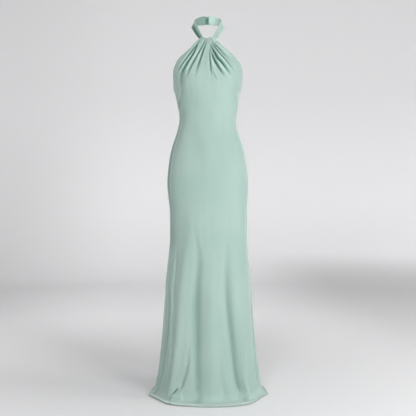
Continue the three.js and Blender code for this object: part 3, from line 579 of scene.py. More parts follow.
def soft_waves(angle, z):
    return sum(
        height * np.sin(count * np.radians(angle) + phase) * np.sin(z / length * 2 * math.pi + 1.7 * phase)
        for count, length, phase, height in SOFT_WAVES
    )


def rim_lift(angle):
    return sum(
        height * np.exp(-(turned_by(angle, centre) / width) ** 2)
        for centre, width, height in RIM_LIFTS
    )


def spread(*parts):
    """Places along a grid, each part given as from, to and how many steps."""
    places = [np.linspace(a, b, n, endpoint=False) for a, b, n in parts]
    return np.concatenate(places + [[parts[-1][1]]])


def toward_edges(us, near=(0.0009, 0.0026, 0.006, 0.011, 0.018, 0.027)):
    """Columns of a panel with extra ones close to both side edges."""
    extra = [side * (1 - step) for side in (-1, 1) for step in near]
    return np.unique(np.round(np.concatenate([us, extra]), 5))


def down_place(z, top=UNDERARM):
    return 1 + (top - z) / (top - BREAK)


def panel_walls(plain, lift, hollow, us, vs, cloth, armholes):
    """Outer and inner faces of a panel in one grid, with its cloth coordinates and its marks, one of them
    its painted shade.
    """
    u, v = grid(us, vs)
    base = plain(u, v)
    out = surface_normal(plain, u, v)
    angle = u * 90 if armholes else back_angle(u)
    rest = base + out * lift(u, v, base)[..., None]
    across, down = run_along(rest, 1), run_along(rest, 0)
    side = np.minimum(across, across[:, -1:] - across)
    under = base[..., 2] - UNDERARM
    bare = side if armholes else np.full_like(side, 1e3)
    armhole = np.where(under > 0, bare, np.hypot(bare, under))
    seam = np.where(under < 0, side, np.hypot(side, under))
    hem = down[-1:] - down
    edge = np.minimum(np.minimum(armhole, down), hem)
    along = np.where((edge == down) | (edge == hem), across, down)
    turn = np.where(edge == hem, HEM_TURN, ARMHOLE_TURN if armholes else BACK_TURN)
    doubled = ease((turn - edge) / DOUBLED_OVER)
    wall = cloth * (1 + doubled)
    off_edge = ease((edge - 4) / 30)
    hanging = ease((UNDERARM - 30 - base[..., 2]) / 120) * ease((hem - 40) / 80)
    raised = DOUBLED_HIGHER * doubled
    dent, groove, bulk, pucker = STITCH_DENT, SEAM_GROOVE, SEAM_BULK, SEAM_PUCKER
    raised = raised - dent["depth"] * np.exp(-((edge - turn + dent["in"]) / dent["width"]) ** 2)
    raised = raised - groove["depth"] * np.exp(-(seam / groove["width"]) ** 2)
    raised = raised + bulk["height"] * np.exp(-((seam - bulk["in"]) / bulk["width"]) ** 2)
    puckered = pucker["height"] * np.exp(-((seam - pucker["in"]) / pucker["width"]) ** 2)
    raised = raised + puckered * np.sin(down / pucker["short"]) * np.sin(down / pucker["long"])
    raised = raised + off_edge * hanging * soft_waves(angle, base[..., 2])
    roll = roll_in(edge, wall)
    outer = rest + out * (raised - roll)[..., None]
    inner = rest + out * (np.minimum(raised, 0) - wall + roll)[..., None]
    lift_off = rim_lift(angle) * ease((46 - hem) / 46) * ease((v - 2) / 0.25)
    outer[..., 2] += lift_off
    inner[..., 2] += lift_off
    inner[..., 2] = np.maximum(inner[..., 2], 0.05)
    outer[..., 2] = np.maximum(outer[..., 2], inner[..., 2] + 0.3)
    middle = across - across[:, [across.shape[1] // 2]]
    marks = {"edge": edge * MM, "along": along * MM, "hollow": hollow(u, v, base)}
    return outer, inner, np.stack([middle, -down], -1), marks


def seated(points):
    """Points in the dress's own millimetres, moved to the nape and made metres."""
    return (np.asarray(points, float) - (0, NAPE_DEPTH, NAPE_HEIGHT)) * MM


def new_piece(name, points, faces, uv=None, marks=None):
    """A smooth-shaded mesh object with its cloth coordinates and its sewing distances, both in metres."""
    mesh = bpy.data.meshes.new(name)
    mesh.from_pydata(points.tolist(), [], faces.tolist())
    mesh.polygons.foreach_set("use_smooth", np.ones(len(mesh.polygons), bool))
    if uv is not None:
        corners = np.empty(len(mesh.loops), int)
        mesh.loops.foreach_get("vertex_index", corners)
        layer = mesh.uv_layers.new(name="cloth")
        layer.data.foreach_set("uv", (uv[corners] * MM).ravel())
    for mark, values in (marks or {}).items():
        attribute = mesh.attributes.new(mark, "FLOAT", "POINT")
        attribute.data.foreach_set("value", np.ravel(values))
    mesh.validate()
    mesh.update()
    piece = bpy.data.objects.new(name, mesh)
    bpy.context.collection.objects.link(piece)
    return piece


def closed_sheet(name, outer, inner, uv, marks):
    """A closed thin solid from the grids of its two faces."""
    rows, columns = outer.shape[:2]
    count = rows * columns
    at = np.arange(count).reshape(rows, columns)

    def quads(a, b, c, d):
        return np.stack([a, b, c, d], -1).reshape(-1, 4)

    faces = [
        quads(at[:-1, :-1], at[1:, :-1], at[1:, 1:], at[:-1, 1:]),
        quads(at[:-1, :-1], at[:-1, 1:], at[1:, 1:], at[1:, :-1]) + count,
        quads(at[:-1, 0], at[:-1, 0] + count, at[1:, 0] + count, at[1:, 0]),
        quads(at[:-1, -1], at[1:, -1], at[1:, -1] + count, at[:-1, -1] + count),
        quads(at[0, :-1], at[0, 1:], at[0, 1:] + count, at[0, :-1] + count),
        quads(at[-1, :-1], at[-1, :-1] + count, at[-1, 1:] + count, at[-1, 1:]),
    ]
    points = np.concatenate([outer.reshape(-1, 3), inner.reshape(-1, 3)])
    both = np.concatenate([uv.reshape(-1, 2)] * 2)
    marks = {mark: np.concatenate([values.ravel()] * 2) for mark, values in marks.items()}
    return new_piece(name, seated(points), np.concatenate(faces), both, marks)


def front_panel(cloth):
    columns = toward_edges(spread((-1, -0.52, 34), (-0.52, -0.24, 54), (-0.24, 1, 80)))
    rows = np.concatenate([
        [0, 0.0016, 0.004, 0.008],
        spread((0.012, 1, 92), (1, down_place(1085), 26), (down_place(1085), down_place(260), 62),
               (down_place(260), 2, 50), (2, 2.93, 48)),
        [2.95, 2.97, 2.985, 2.995, 3],
    ])
    outer, inner, uv, marks = panel_walls(front_plain, front_lift, front_painted_shading, columns, rows, cloth, True)
    return closed_sheet("front_panel_jersey", outer, inner, uv, marks)


def back_panel(cloth):
    columns = toward_edges(spread((-1, 1, 150)))
    rows = np.concatenate([
        [0, 0.0035, 0.009, 0.018],
        spread((0.03, 1, 40), (1, 1 + (BACK_EASE - 260) / (BACK_EASE - BREAK), 56),
               (1 + (BACK_EASE - 260) / (BACK_EASE - BREAK), 2, 44), (2, 2.93, 40)),
        [2.95, 2.97, 2.985, 2.995, 3],
    ])
    outer, inner, uv, marks = panel_walls(back_plain, back_lift, back_painted_shading, columns, rows, cloth, False)
    return closed_sheet("back_panel_jersey", outer, inner, uv, marks)


# Straps, tab, hooks and eyes.

# Creases along each strap: place across it at the start and at the end, half width, depth,
# and the shares of the strap's length between which it runs.
CREASES_LEFT = (
    (0.36, 0.2, 0.05, 1.2, 0.34, 1.0),
    (0.6, 0.5, 0.055, 1.7, 0.3, 1.0),
    (0.86, 0.8, 0.055, 1.6, 0.3, 0.95),
)
CREASES_RIGHT = (
    (0.4, 0.3, 0.05, 0.9, 0.34, 0.98),
    (0.66, 0.6, 0.05, 1.1, 0.44, 0.98),
    (0.84, 0.8, 0.035, 0.7, 0.5, 0.9),
    (0.2, 0.14, 0.035, 0.6, 0.6, 0.98),
)
# Painted shade on each strap's inner face near the nape, then on its outer face towards its lower edge, as
# shares; below zero, painted highlight instead. Then the crease depth in millimetres at which a crease gets
# full painted shade, and the tab's share of painted shade.
SHADE_LEFT = (0.5, 0.75)
SHADE_RIGHT = (-0.8, -0.52)
STRAP_CREASE_SHADE_DEPTH = 1.5
TAB_PAINTED_SHADE = 0.8


def curve_at(points, t):
    """A smooth curve through points, at shares t of the way along."""
    p = np.asarray(points, float)
    ends = np.vstack([2 * p[0] - p[1], p, 2 * p[-1] - p[-2]])
    s = np.clip(t, 0, 1) * (len(p) - 1)
    i = np.minimum(s.astype(int), len(p) - 2)
    w = (s - i)[:, None]
    p0, p1, p2, p3 = (ends[i + k] for k in range(4))
    pairs = ((p0, p1), (p1, p2), (p2, p3))
    d0, d1, d2 = (np.sqrt(np.linalg.norm(b - a, axis=1))[:, None] for a, b in pairs)
    m1 = ((p1 - p0) / d0 - (p2 - p0) / (d0 + d1) + (p2 - p1) / d1) * d1
    m2 = ((p2 - p1) / d1 - (p3 - p1) / (d1 + d2) + (p3 - p2) / d2) * d1
    w2, w3 = w * w, w * w * w
    return (2 * w3 - 3 * w2 + 1) * p1 + (w3 - 2 * w2 + w) * m1 + (3 * w2 - 2 * w3) * p2 + (w3 - w2) * m2


def front_surface_y(x, z):
    """How far forward the front panel's face stands at a place seen from the front."""
    places = np.linspace(-1, 1, 4001)
    points = front_section(places, np.full_like(places, z))
    plain = np.interp(x, points[:, 0], points[:, 1])
    return float(plain - chest_lift(np.array(float(x)), np.array(float(z))) - 0.15)


def end_rows(rows, offset):
    return tuple(
        tuple((x, front_surface_y(x, z) + offset, z) for x, z in row)
        for row in rows
    )


def crease_depth(creases, t, w):
    total = 0
    for start, end, width, depth, t0, t1 in creases:
        place = mix(start, end, (t - t0) / (t1 - t0))[:, None]
        run = (ease((t - t0) / 0.15) * ease((t1 + 0.04 - t) / 0.06))[:, None]
        total = total + depth * run * np.exp(-np.abs((w[None, :] - place) / width) ** 1.5)
    return total


def strap_points(rows, creases, sections=150, across=36):
    """The rings of a strap from the nape to the twist: its outer face, then its inner one."""
    t = np.linspace(0, 1, sections + 1)
    w = np.linspace(0, 1, across + 1)
    top = curve_at([row[0] for row in rows], t)
    bottom = curve_at([row[1] for row in rows], t)
    tangent = curve_at([row[0] for row in rows], t + 1e-4) - curve_at([row[0] for row in rows], t - 1e-4)
    out = np.cross(bottom - top, tangent)
    out /= np.linalg.norm(out, axis=1, keepdims=True)
    middle = 0.5 * (top + bottom)
    away = np.sum(out[:, :2] * middle[:, :2], axis=1, keepdims=True)
    out = np.where(away < 0, -out, out)
    ending = ease((t - END_FROM) / (1 - END_FROM))
    gathered = ease((t - GATHER_FROM) / GATHER_RUN) * (1 - FLATTENED * ending)
    half = (mix(mix(BAND_THICK, END_THICK, ending), GATHERED_THICK, gathered) / 2)[:, None]
    crown = np.sqrt(np.clip(1 - np.abs(2 * w - 1) ** 6, 0.012, 1))[None, :]
    wave = -0.5 * np.cos(2 * math.pi * RIDGES * w)[None, :] * gathered[:, None] * RIDGE_HEIGHT
    pressed = crease_depth(creases, t, w) * (1 - 0.5 * ending[:, None])
    outer_lift = half * crown + (0.6 * wave - pressed) * crown
    inner_lift = -half * crown - 0.3 * wave * crown
    line = mix(top[:, None, :], bottom[:, None, :], w[None, :, None])
    outer = line + out[:, None, :] * outer_lift[..., None]
    inner = line + out[:, None, :] * inner_lift[..., None]
    return t, w, outer, inner


def strap(name, rows, creases, shade):
    """A folded strap; shade is the share of painted shade on its inner face, then on its outer face's foot;
    below zero, painted highlight, on the whole outer face.
    """
    t, w, outer, inner = strap_points(rows, creases)
    ring = np.concatenate([outer, inner[:, ::-1]], 1)
    falling = ease((t - 0.28) / 0.16)[:, None]
    lower = ease((w - 0.25) / 0.4)[None, :]
    creased = crease_depth(creases, t, w) / STRAP_CREASE_SHADE_DEPTH
    outside = np.clip(falling * (np.minimum(shade[1], shade[1] * lower) + creased), -1, 1)
    inside = np.clip(shade[0] * ease((0.62 - t) / 0.1)[:, None] + 0 * lower, -1, 1)
    hollow = np.concatenate([outside, inside[:, ::-1]], 1)
    rings, size = ring.shape[:2]
    at = np.arange(rings * size).reshape(rings, size)
    near, far = at, np.roll(at, -1, 1)
    sides = np.stack([near[:-1], far[:-1], far[1:], near[1:]], -1).reshape(-1, 4)
    half = size // 2
    i = np.arange(half - 1)
    caps = [np.stack([at[0, i], at[0, size - 1 - i], at[0, size - 2 - i], at[0, i + 1]], -1)]
    caps.append(np.stack([at[-1, i], at[-1, i + 1], at[-1, size - 2 - i], at[-1, size - 1 - i]], -1))
    faces = np.concatenate([sides] + caps)
    length = run_along(ring, 0)
    wide = run_along(ring, 1)
    uv = np.stack([wide, -length], -1).reshape(-1, 2)
    points = seated(ring.reshape(-1, 3))
    if volume(points, faces) < 0:
        faces = faces[:, ::-1]
    marks = {"edge": length * MM, "along": wide * MM, "hollow": hollow}
    return new_piece(name, points, faces, uv, marks)


def volume(points, faces):
    a, b, c, d = (points[faces[:, k]] for k in range(4))
    return float(np.sum(np.cross(b - a, c - a) * a + np.cross(c - a, d - a) * a) / 6)


def nape_y(x):
    return NAPE_DEPTH + BAND_THICK / 2 - x * x / NAPE_ARC


def tab_y(x):
    return nape_y(x) + BAND_THICK / 2 + NAPE_CLEAR + TAB["thick"] / 2


def closing_tab():
    """The under-lap outside the band, with rounded corners, painted in shade all over."""
    steps = np.concatenate([[0, 0.02, 0.05], np.linspace(0.1, 0.9, 24), [0.95, 0.98, 1]]) * 2 - 1
    a, b = grid(steps, steps[::-1])
    half_x = (TAB["right"] - TAB["left"]) / 2
    half_z = (TAB["top"] - TAB["bottom"]) / 2
    x, z = a * half_x, b * half_z
    radius = 4
    corner_x = np.abs(x) - (half_x - radius)
    corner_z = np.abs(z) - (half_z - radius)
    inside = (corner_x > 0) & (corner_z > 0)
    shrink = np.maximum(corner_x, corner_z) / np.maximum(np.hypot(corner_x, corner_z), 1e-6)
    x = np.where(inside, np.sign(x) * (half_x - radius + corner_x * shrink), x)
    z = np.where(inside, np.sign(z) * (half_z - radius + corner_z * shrink), z)
    straight = np.minimum(half_x - np.abs(x), half_z - np.abs(z))
    reach = np.where(inside, radius - np.maximum(corner_x, corner_z), straight)
    x_mid = (TAB["left"] + TAB["right"]) / 2
    z_mid = (TAB["top"] + TAB["bottom"]) / 2
    roll = roll_in(reach, TAB["thick"])
    middle = tab_y(x + x_mid)
    outer = np.stack([x + x_mid, middle + TAB["thick"] / 2 - roll, z + z_mid], -1)
    inner = np.stack([x + x_mid, middle - TAB["thick"] / 2 + roll, z + z_mid], -1)
    uv = np.stack([x, z], -1)
    along = np.where(half_x - np.abs(x) < half_z - np.abs(z), z, x)
    marks = {"edge": reach * MM, "along": (along + 40) * MM, "hollow": np.full_like(reach, TAB_PAINTED_SHADE)}
    return closed_sheet("closing_tab_jersey", outer, inner, uv, marks)


def deselect():
    if bpy.context.object and bpy.context.object.mode != "OBJECT":
        bpy.ops.object.mode_set(mode="OBJECT")
    bpy.ops.object.select_all(action="DESELECT")


def wire_end(x, y, z, radius, turned):
    """A round wire's filled end, at its place and left open in edit mode."""
    deselect()
    bpy.ops.mesh.primitive_circle_add(
        vertices=14, radius=radius * MM, fill_type="NGON",
        location=tuple(seated((x, y, z))), rotation=turned,
    )
    bpy.ops.object.transform_apply(location=True, rotation=True, scale=True)
    bpy.ops.object.mode_set(mode="EDIT")
    bpy.ops.mesh.select_all(action="SELECT")


def draw_out(x=0, y=0, z=0):
    bpy.ops.mesh.extrude_region_move(TRANSFORM_OT_translate={"value": (x * MM, y * MM, z * MM)})


def bend(turn, centre, axis, steps=14):
    bpy.ops.mesh.spin(steps=steps, angle=turn, center=tuple(seated(centre)), axis=axis)


def sewing_ring(x, y, z, radius=1.15, wire=0.36):
    """A small ring in the plane of the band, that thread goes through."""
    deselect()
    bpy.ops.mesh.primitive_torus_add(
        major_segments=24, minor_segments=10, major_radius=radius * MM, minor_radius=wire * MM,
        location=tuple(seated((x, y, z))), rotation=(math.pi / 2, 0, 0),
    )
    bpy.ops.object.transform_apply(location=True, rotation=True, scale=True)
    return bpy.context.object


def joined(name, parts):
    """One object from several, with its faces turned outwards and shaded smooth."""
    deselect()
    for part in parts:
        part.select_set(True)
    bpy.context.view_layer.objects.active = parts[0]
    bpy.ops.object.join()
    bpy.ops.object.mode_set(mode="EDIT")
    bpy.ops.mesh.select_all(action="SELECT")
    bpy.ops.mesh.remove_doubles(threshold=1e-6)
    bpy.ops.mesh.normals_make_consistent(inside=False)
    bpy.ops.object.mode_set(mode="OBJECT")
    bpy.ops.object.shade_smooth_by_angle(angle=math.radians(50))
    piece = bpy.context.object
    piece.name = name
    piece.data.name = name
    return piece


def eye(name, z):
    """A loop of wire sewn to the tab, with a sewing ring at each foot."""
    y = float(tab_y(EYE["root"])) - TAB["thick"] / 2 - CLEAR - WIRE
    centre_x = EYE["root"] + EYE["reach"] - EYE["half"]
    wire_end(EYE["root"], y, z - EYE["half"], WIRE, (0, math.pi / 2, 0))
    draw_out(x=centre_x - EYE["root"])
    bend(-math.pi, (centre_x, y, z), (0, 1, 0))
    draw_out(x=EYE["root"] - centre_x)
    bpy.ops.object.mode_set(mode="OBJECT")
    loop = bpy.context.object
    rings = [sewing_ring(EYE["root"] - 0.5, y, z + side * (EYE["half"] + 1.0)) for side in (-1, 1)]
    return joined(name, [loop] + rings)


def hook(name, z):
    """A doubled wire on the inside of the right strap, bent back through its eye, with two sewing rings."""
    past = float(nape_y(0)) - BAND_THICK / 2 - NAPE_CLEAR - WIRE
    root = float(nape_y(HOOK["root"])) - BAND_THICK / 2 - NAPE_CLEAR - WIRE
    bend_radius = HOOK["depth"] / 2
    parts = []
    for side in (-1, 1):
        wire_end(HOOK["root"], root, z + side * 0.42, 0.4, (0, -math.pi / 2, 0))
        draw_out(x=-HOOK["root"], y=past - root)
        draw_out(x=HOOK["tip"] + bend_radius)
        bend(-math.pi, (HOOK["tip"] + bend_radius, past + bend_radius, z + side * 0.42), (0, 0, 1))
        draw_out(x=1.4)
        bpy.ops.object.mode_set(mode="OBJECT")
        parts.append(bpy.context.object)
    rings = [sewing_ring(HOOK["root"] + 0.6, root, z + side * 1.5) for side in (-1, 1)]
    return joined(name, parts + rings)


# Materials.

def plain_value(linear):
    return (*linear, 1.0)


def from_screen(colour):
    """A colour picked on screen, made linear for the shaders."""
    return tuple(c / 12.92 if c <= 0.04045 else ((c + 0.055) / 1.055) ** 2.4 for c in colour)


class Tree:
    """A short way to add linked nodes to a shader tree."""

    def __init__(self, tree):
        self.tree = tree

    def add(self, kind, settings=None, **inputs):
        node = self.tree.nodes.new(kind)
        for key, value in (settings or {}).items():
            setattr(node, key, value)
        for key, value in inputs.items():
            self.put(node.inputs[key.replace("_", " ")], value)
        return node

    def put(self, socket, value):
        if isinstance(value, bpy.types.NodeSocket):
            self.tree.links.new(value, socket)
        else:
            socket.default_value = value

    def sum(self, operation, a, b=0.0, clamp=False):
        node = self.add("ShaderNodeMath", {"operation": operation, "use_clamp": clamp})
        self.put(node.inputs[0], a)
        self.put(node.inputs[1], b)
        return node.outputs[0]

    def tint(self, share, a, b):
        """A mix of two colours by a share."""
        node = self.add("ShaderNodeMix", {"data_type": "RGBA"})
        self.put(node.inputs[0], share)
        self.put(node.inputs[6], a)
        self.put(node.inputs[7], b)
        return node.outputs[2]

    def ramp(self, value, low, high):
        node = self.add("ShaderNodeMapRange", {"interpolation_type": "SMOOTHSTEP"})
        self.put(node.inputs[0], value)
        node.inputs[1].default_value = low
        node.inputs[2].default_value = high
        return node.outputs[0]


def numbers(*labels):
    """Sockets of a node group that each take or give a number."""
    return tuple((label, "NodeSocketFloat") for label in labels)


def new_group(name, inputs, outputs):
    group = bpy.data.node_groups.new(name, "ShaderNodeTree")
    for label, kind in inputs:
        group.interface.new_socket(label, in_out="INPUT", socket_type=kind)
    for label, kind in outputs:
        group.interface.new_socket(label, in_out="OUTPUT", socket_type=kind)
    tree = Tree(group)
    return group, tree, tree.add("NodeGroupInput").outputs, tree.add("NodeGroupOutput").inputs


def knit_group():
    """Fine plain knit: columns of small V-shaped loops, as a height from 0 to 1."""
    group, tree, given, made = new_group(
        "fine_knit",
        (("Cloth", "NodeSocketVector"),) + numbers("Wale", "Course"),
        numbers("Height", "Fuzz"),
    )
    split = tree.add("ShaderNodeSeparateXYZ")
    tree.put(split.inputs[0], given["Cloth"])
    wale = tree.sum("DIVIDE", split.outputs[0], given["Wale"])
    course = tree.sum("DIVIDE", split.outputs[1], given["Course"])
    leg = tree.sum("ABSOLUTE", tree.sum("SUBTRACT", tree.sum("FRACT", wale), 0.5))
    rib = tree.sum("SINE", tree.sum("MULTIPLY", leg, 2 * math.pi))
    slant = tree.sum("ADD", course, tree.sum("MULTIPLY", leg, 1.1))
    loop = tree.sum("COSINE", tree.sum("MULTIPLY", slant, 2 * math.pi))
    loop = tree.sum("MULTIPLY_ADD", loop, 0.3)
    loop.node.inputs[2].default_value = 0.7
    tree.put(made["Height"], tree.sum("MULTIPLY", rib, loop))
    noise = tree.add("ShaderNodeTexNoise", Scale=2600.0, Detail=2.0, Roughness=0.6)
    tree.put(noise.inputs["Vector"], given["Cloth"])
    tree.put(made["Fuzz"], noise.outputs[0])
    return group


def stitch_group():
    """A row of machine stitches at a set distance from a sewn edge: thread, and the dent that it pulls."""
    group, tree, given, made = new_group(
        "stitch_row",
        numbers("Edge", "Along", "Inset", "Stitch"),
        numbers("Thread", "Dent"),
    )
    off = tree.sum("ABSOLUTE", tree.sum("SUBTRACT", given["Edge"], given["Inset"]))
    line = tree.sum("SUBTRACT", 1.0, tree.ramp(off, 0.0001, 0.00032))
    dent = tree.sum("SUBTRACT", 1.0, tree.ramp(off, 0.0002, 0.0011))
    within = tree.sum("FRACT", tree.sum("DIVIDE", given["Along"], given["Stitch"]))
    place = tree.sum("ABSOLUTE", tree.sum("SUBTRACT", within, 0.5))
    thread = tree.sum("SUBTRACT", 1.0, tree.ramp(place, 0.34, 0.43))
    tree.put(made["Thread"], tree.sum("MULTIPLY", line, thread))
    tree.put(made["Dent"], dent)
    return group


def group_node(tree, group):
    return tree.add("ShaderNodeGroup", {"node_tree": group})


def new_material(name):
    material = bpy.data.materials.new(name)
    material.use_nodes = True
    material.node_tree.nodes.clear()
    return material, Tree(material.node_tree)


def jersey_material(name, colours, rows):
    """Mint jersey: fine knit, soft sheen, faint uneven dye, painted shade and highlight, rows of stitches
    at edges.
    """
    cloth = bpy.context.scene.dress_cloth
    material, tree = new_material(name)
    place = tree.add("ShaderNodeUVMap", {"uv_map": "cloth"}).outputs[0]
    where = tree.add("ShaderNodeTexCoord").outputs["Object"]
    knit = group_node(tree, bpy.data.node_groups["fine_knit"])
    tree.put(knit.inputs["Cloth"], place)
    knit.inputs["Wale"].default_value = cloth.wale
    knit.inputs["Course"].default_value = cloth.course
    broad = tree.add("ShaderNodeTexNoise", Scale=5.5, Detail=3.0, Roughness=0.5)
    tree.put(broad.inputs["Vector"], where)
    main, light, shade, deep, crest = (plain_value(from_screen(colour)) for colour in colours)
    thread = plain_value(from_screen(tuple(cloth.thread_colour)))
    dye = tree.tint(tree.ramp(broad.outputs[0], 0.35, 0.65), main, light)
    # Faint vertical streaks, partly the yarn's heathered tone and partly painted shade and highlight of
    # fine drape lines.
    down = tree.add("ShaderNodeMapping", Scale=(1.0, 1.0, 0.05))
    tree.put(down.inputs[0], where)
    heather_and_drape_streak = tree.add("ShaderNodeTexNoise", Scale=85.0, Detail=3.0, Roughness=0.6)
    tree.put(heather_and_drape_streak.inputs["Vector"], down.outputs[0])
    dye = tree.tint(tree.sum("MULTIPLY", tree.ramp(heather_and_drape_streak.outputs[0], 0.5, 0.72), 0.12), dye, shade)
    dye = tree.tint(tree.sum("MULTIPLY", tree.ramp(heather_and_drape_streak.outputs[0], 0.5, 0.28), 0.05), dye, crest)
    yarn = tree.tint(tree.sum("MULTIPLY", knit.outputs["Height"], 0.35), shade, dye)
    yarn = tree.tint(tree.ramp(knit.outputs["Height"], -0.1, 0.5), yarn, dye)
    colour = tree.tint(tree.sum("MULTIPLY", knit.outputs["Fuzz"], 0.16), yarn, light)
    loops = tree.sum("MULTIPLY", knit.outputs["Height"], 0.8)
    height = tree.sum("ADD", loops, tree.sum("MULTIPLY", knit.outputs["Fuzz"], 0.5))
    # Painted shade deep in the gathers and folds, and painted highlight on their crests, from each piece's
    # mark.
    hollow = tree.add("ShaderNodeAttribute", {"attribute_name": "hollow"}).outputs["Fac"]
    colour = tree.tint(tree.ramp(hollow, 0.1, 1.0), colour, deep)
    colour = tree.tint(tree.ramp(hollow, -0.1, -1.0), colour, crest)
    edge = tree.add("ShaderNodeAttribute", {"attribute_name": "edge"}).outputs["Fac"]
    along = tree.add("ShaderNodeAttribute", {"attribute_name": "along"}).outputs["Fac"]
    for inset in rows:
        stitches = group_node(tree, bpy.data.node_groups["stitch_row"])
        tree.put(stitches.inputs["Edge"], edge)
        tree.put(stitches.inputs["Along"], along)
        stitches.inputs["Inset"].default_value = inset
        stitches.inputs["Stitch"].default_value = cloth.stitch
        colour = tree.tint(tree.sum("MULTIPLY", stitches.outputs["Thread"], 0.8), colour, thread)
        height = tree.sum("SUBTRACT", height, tree.sum("MULTIPLY", stitches.outputs["Dent"], 1.6))
        height = tree.sum("ADD", height, tree.sum("MULTIPLY", stitches.outputs["Thread"], 2.4))
    bump = tree.add("ShaderNodeBump", Strength=0.45, Distance=0.00022, Height=height)
    rough = tree.sum("MULTIPLY_ADD", knit.outputs["Fuzz"], 0.12)
    rough.node.inputs[2].default_value = 0.68
    shader = tree.add(
        "ShaderNodeBsdfPrincipled", Base_Color=colour, Roughness=rough, Normal=bump.outputs[0],
    )
    shader.inputs["Specular IOR Level"].default_value = 0.25
    shader.inputs["Sheen Weight"].default_value = 0.55
    shader.inputs["Sheen Roughness"].default_value = 0.4
    shader.inputs["Sheen Tint"].default_value = plain_value(from_screen((0.93, 0.97, 0.96)))
    out = tree.add("ShaderNodeOutputMaterial")
    tree.put(out.inputs[0], shader.outputs[0])
    return material


def metal_material(name, colour):
    """Enamelled wire toned to the cloth: fine brushing, with the enamel thinner on some of its ridges."""
    material, tree = new_material(name)
    where = tree.add("ShaderNodeTexCoord").outputs["Object"]
    brushed = tree.add("ShaderNodeTexNoise", Scale=1.0, Detail=3.0)
    stretch = tree.add("ShaderNodeMapping", Scale=(300.0, 4200.0, 4200.0))
    tree.put(stretch.inputs[0], where)
    tree.put(brushed.inputs["Vector"], stretch.outputs[0])
    worn = tree.add("ShaderNodeTexNoise", Scale=900.0, Detail=2.0)
    tree.put(worn.inputs["Vector"], where)
    enamel = plain_value(from_screen(colour))
    pale = plain_value(from_screen(tuple(min(1.0, c * 1.25) for c in colour)))
    worn_enamel = tree.tint(tree.ramp(worn.outputs[0], 0.5, 0.7), enamel, pale)
    rough = tree.sum("MULTIPLY_ADD", brushed.outputs[0], 0.25)
    rough.node.inputs[2].default_value = 0.22
    bump = tree.add("ShaderNodeBump", Strength=0.3, Distance=0.00003, Height=brushed.outputs[0])
    shader = tree.add(
        "ShaderNodeBsdfPrincipled", Base_Color=worn_enamel, Roughness=rough, Normal=bump.outputs[0],
    )
    shader.inputs["Metallic"].default_value = 0.75
    out = tree.add("ShaderNodeOutputMaterial")
    tree.put(out.inputs[0], shader.outputs[0])
    return material


# How light the studio's paper is in each part, as a share of its colour: a faint mottle, and painted shade
# near the dress, high up, at the left and on the floor at the right. Where each tone fades in, in metres:
# near is the distance from the dress, high and floor are heights, left and right are across.
PAPER_MOTTLE_AND_SHADE = {"mottled": 0.985, "near": 0.86, "high": 0.92, "left": 0.88, "right": 0.86}
PAPER_FADES = {
    "near": (0.45, 2.0), "high": (-0.9, 0.7), "floor": (-1.2, -1.45),
    "left": (-0.6, -2.4), "right": (0.2, 1.3),
}


def stage_material(name, colour):
    """Matt studio paper, faintly mottled, with painted shade in parts so that it evens out the lights."""
    material, tree = new_material(name)
    where = tree.add("ShaderNodeTexCoord").outputs["Object"]
    mottle = tree.add("ShaderNodeTexNoise", Scale=1.6, Detail=2.0)
    tree.put(mottle.inputs["Vector"], where)
    split = tree.add("ShaderNodeSeparateXYZ")
    tree.put(split.inputs[0], where)
    east, north = (tree.sum("MULTIPLY", split.outputs[axis], split.outputs[axis]) for axis in (0, 1))
    tones = {
        part: plain_value(from_screen(tuple(c * share for c in colour)))
        for part, share in PAPER_MOTTLE_AND_SHADE.items()
    }
    away = tree.ramp(tree.sum("SQRT", tree.sum("ADD", east, north)), *PAPER_FADES["near"])
    plain = tree.tint(mottle.outputs[0], plain_value(from_screen(colour)), tones["mottled"])
    tinted = tree.tint(away, tones["near"], plain)
    tinted = tree.tint(tree.ramp(split.outputs[2], *PAPER_FADES["high"]), tinted, tones["high"])
    tinted = tree.tint(tree.ramp(split.outputs[0], *PAPER_FADES["left"]), tinted, tones["left"])
    on_floor = tree.ramp(split.outputs[2], *PAPER_FADES["floor"])
    right = tree.sum("MULTIPLY", tree.ramp(split.outputs[0], *PAPER_FADES["right"]), on_floor)
    tinted = tree.tint(right, tinted, tones["right"])
    shader = tree.add("ShaderNodeBsdfPrincipled", Base_Color=tinted)
    shader.inputs["Roughness"].default_value = 0.9
    shader.inputs["Specular IOR Level"].default_value = 0.1
    out = tree.add("ShaderNodeOutputMaterial")
    tree.put(out.inputs[0], shader.outputs[0])
    return material


def shared_groups():
    if "fine_knit" not in bpy.data.node_groups:
        knit_group()
    if "stitch_row" not in bpy.data.node_groups:
        stitch_group()


def dress_in_jersey(piece, rows):
    """Gives a cloth piece its own jersey, with its rows of stitches."""
    shared_groups()
    cloth = bpy.context.scene.dress_cloth
    tones = (cloth.colour, cloth.light_colour, cloth.shade_colour, cloth.fold_shade_colour, cloth.crest_highlight_colour)
    colours = [tuple(tone) for tone in tones]
    material = jersey_material("jersey_" + piece.name, colours, rows)
    piece.data.materials.clear()
    piece.data.materials.append(material)


def hand_over(piece, node):
    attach(piece, "root")
    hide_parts(node)


# Settings that a user may change.

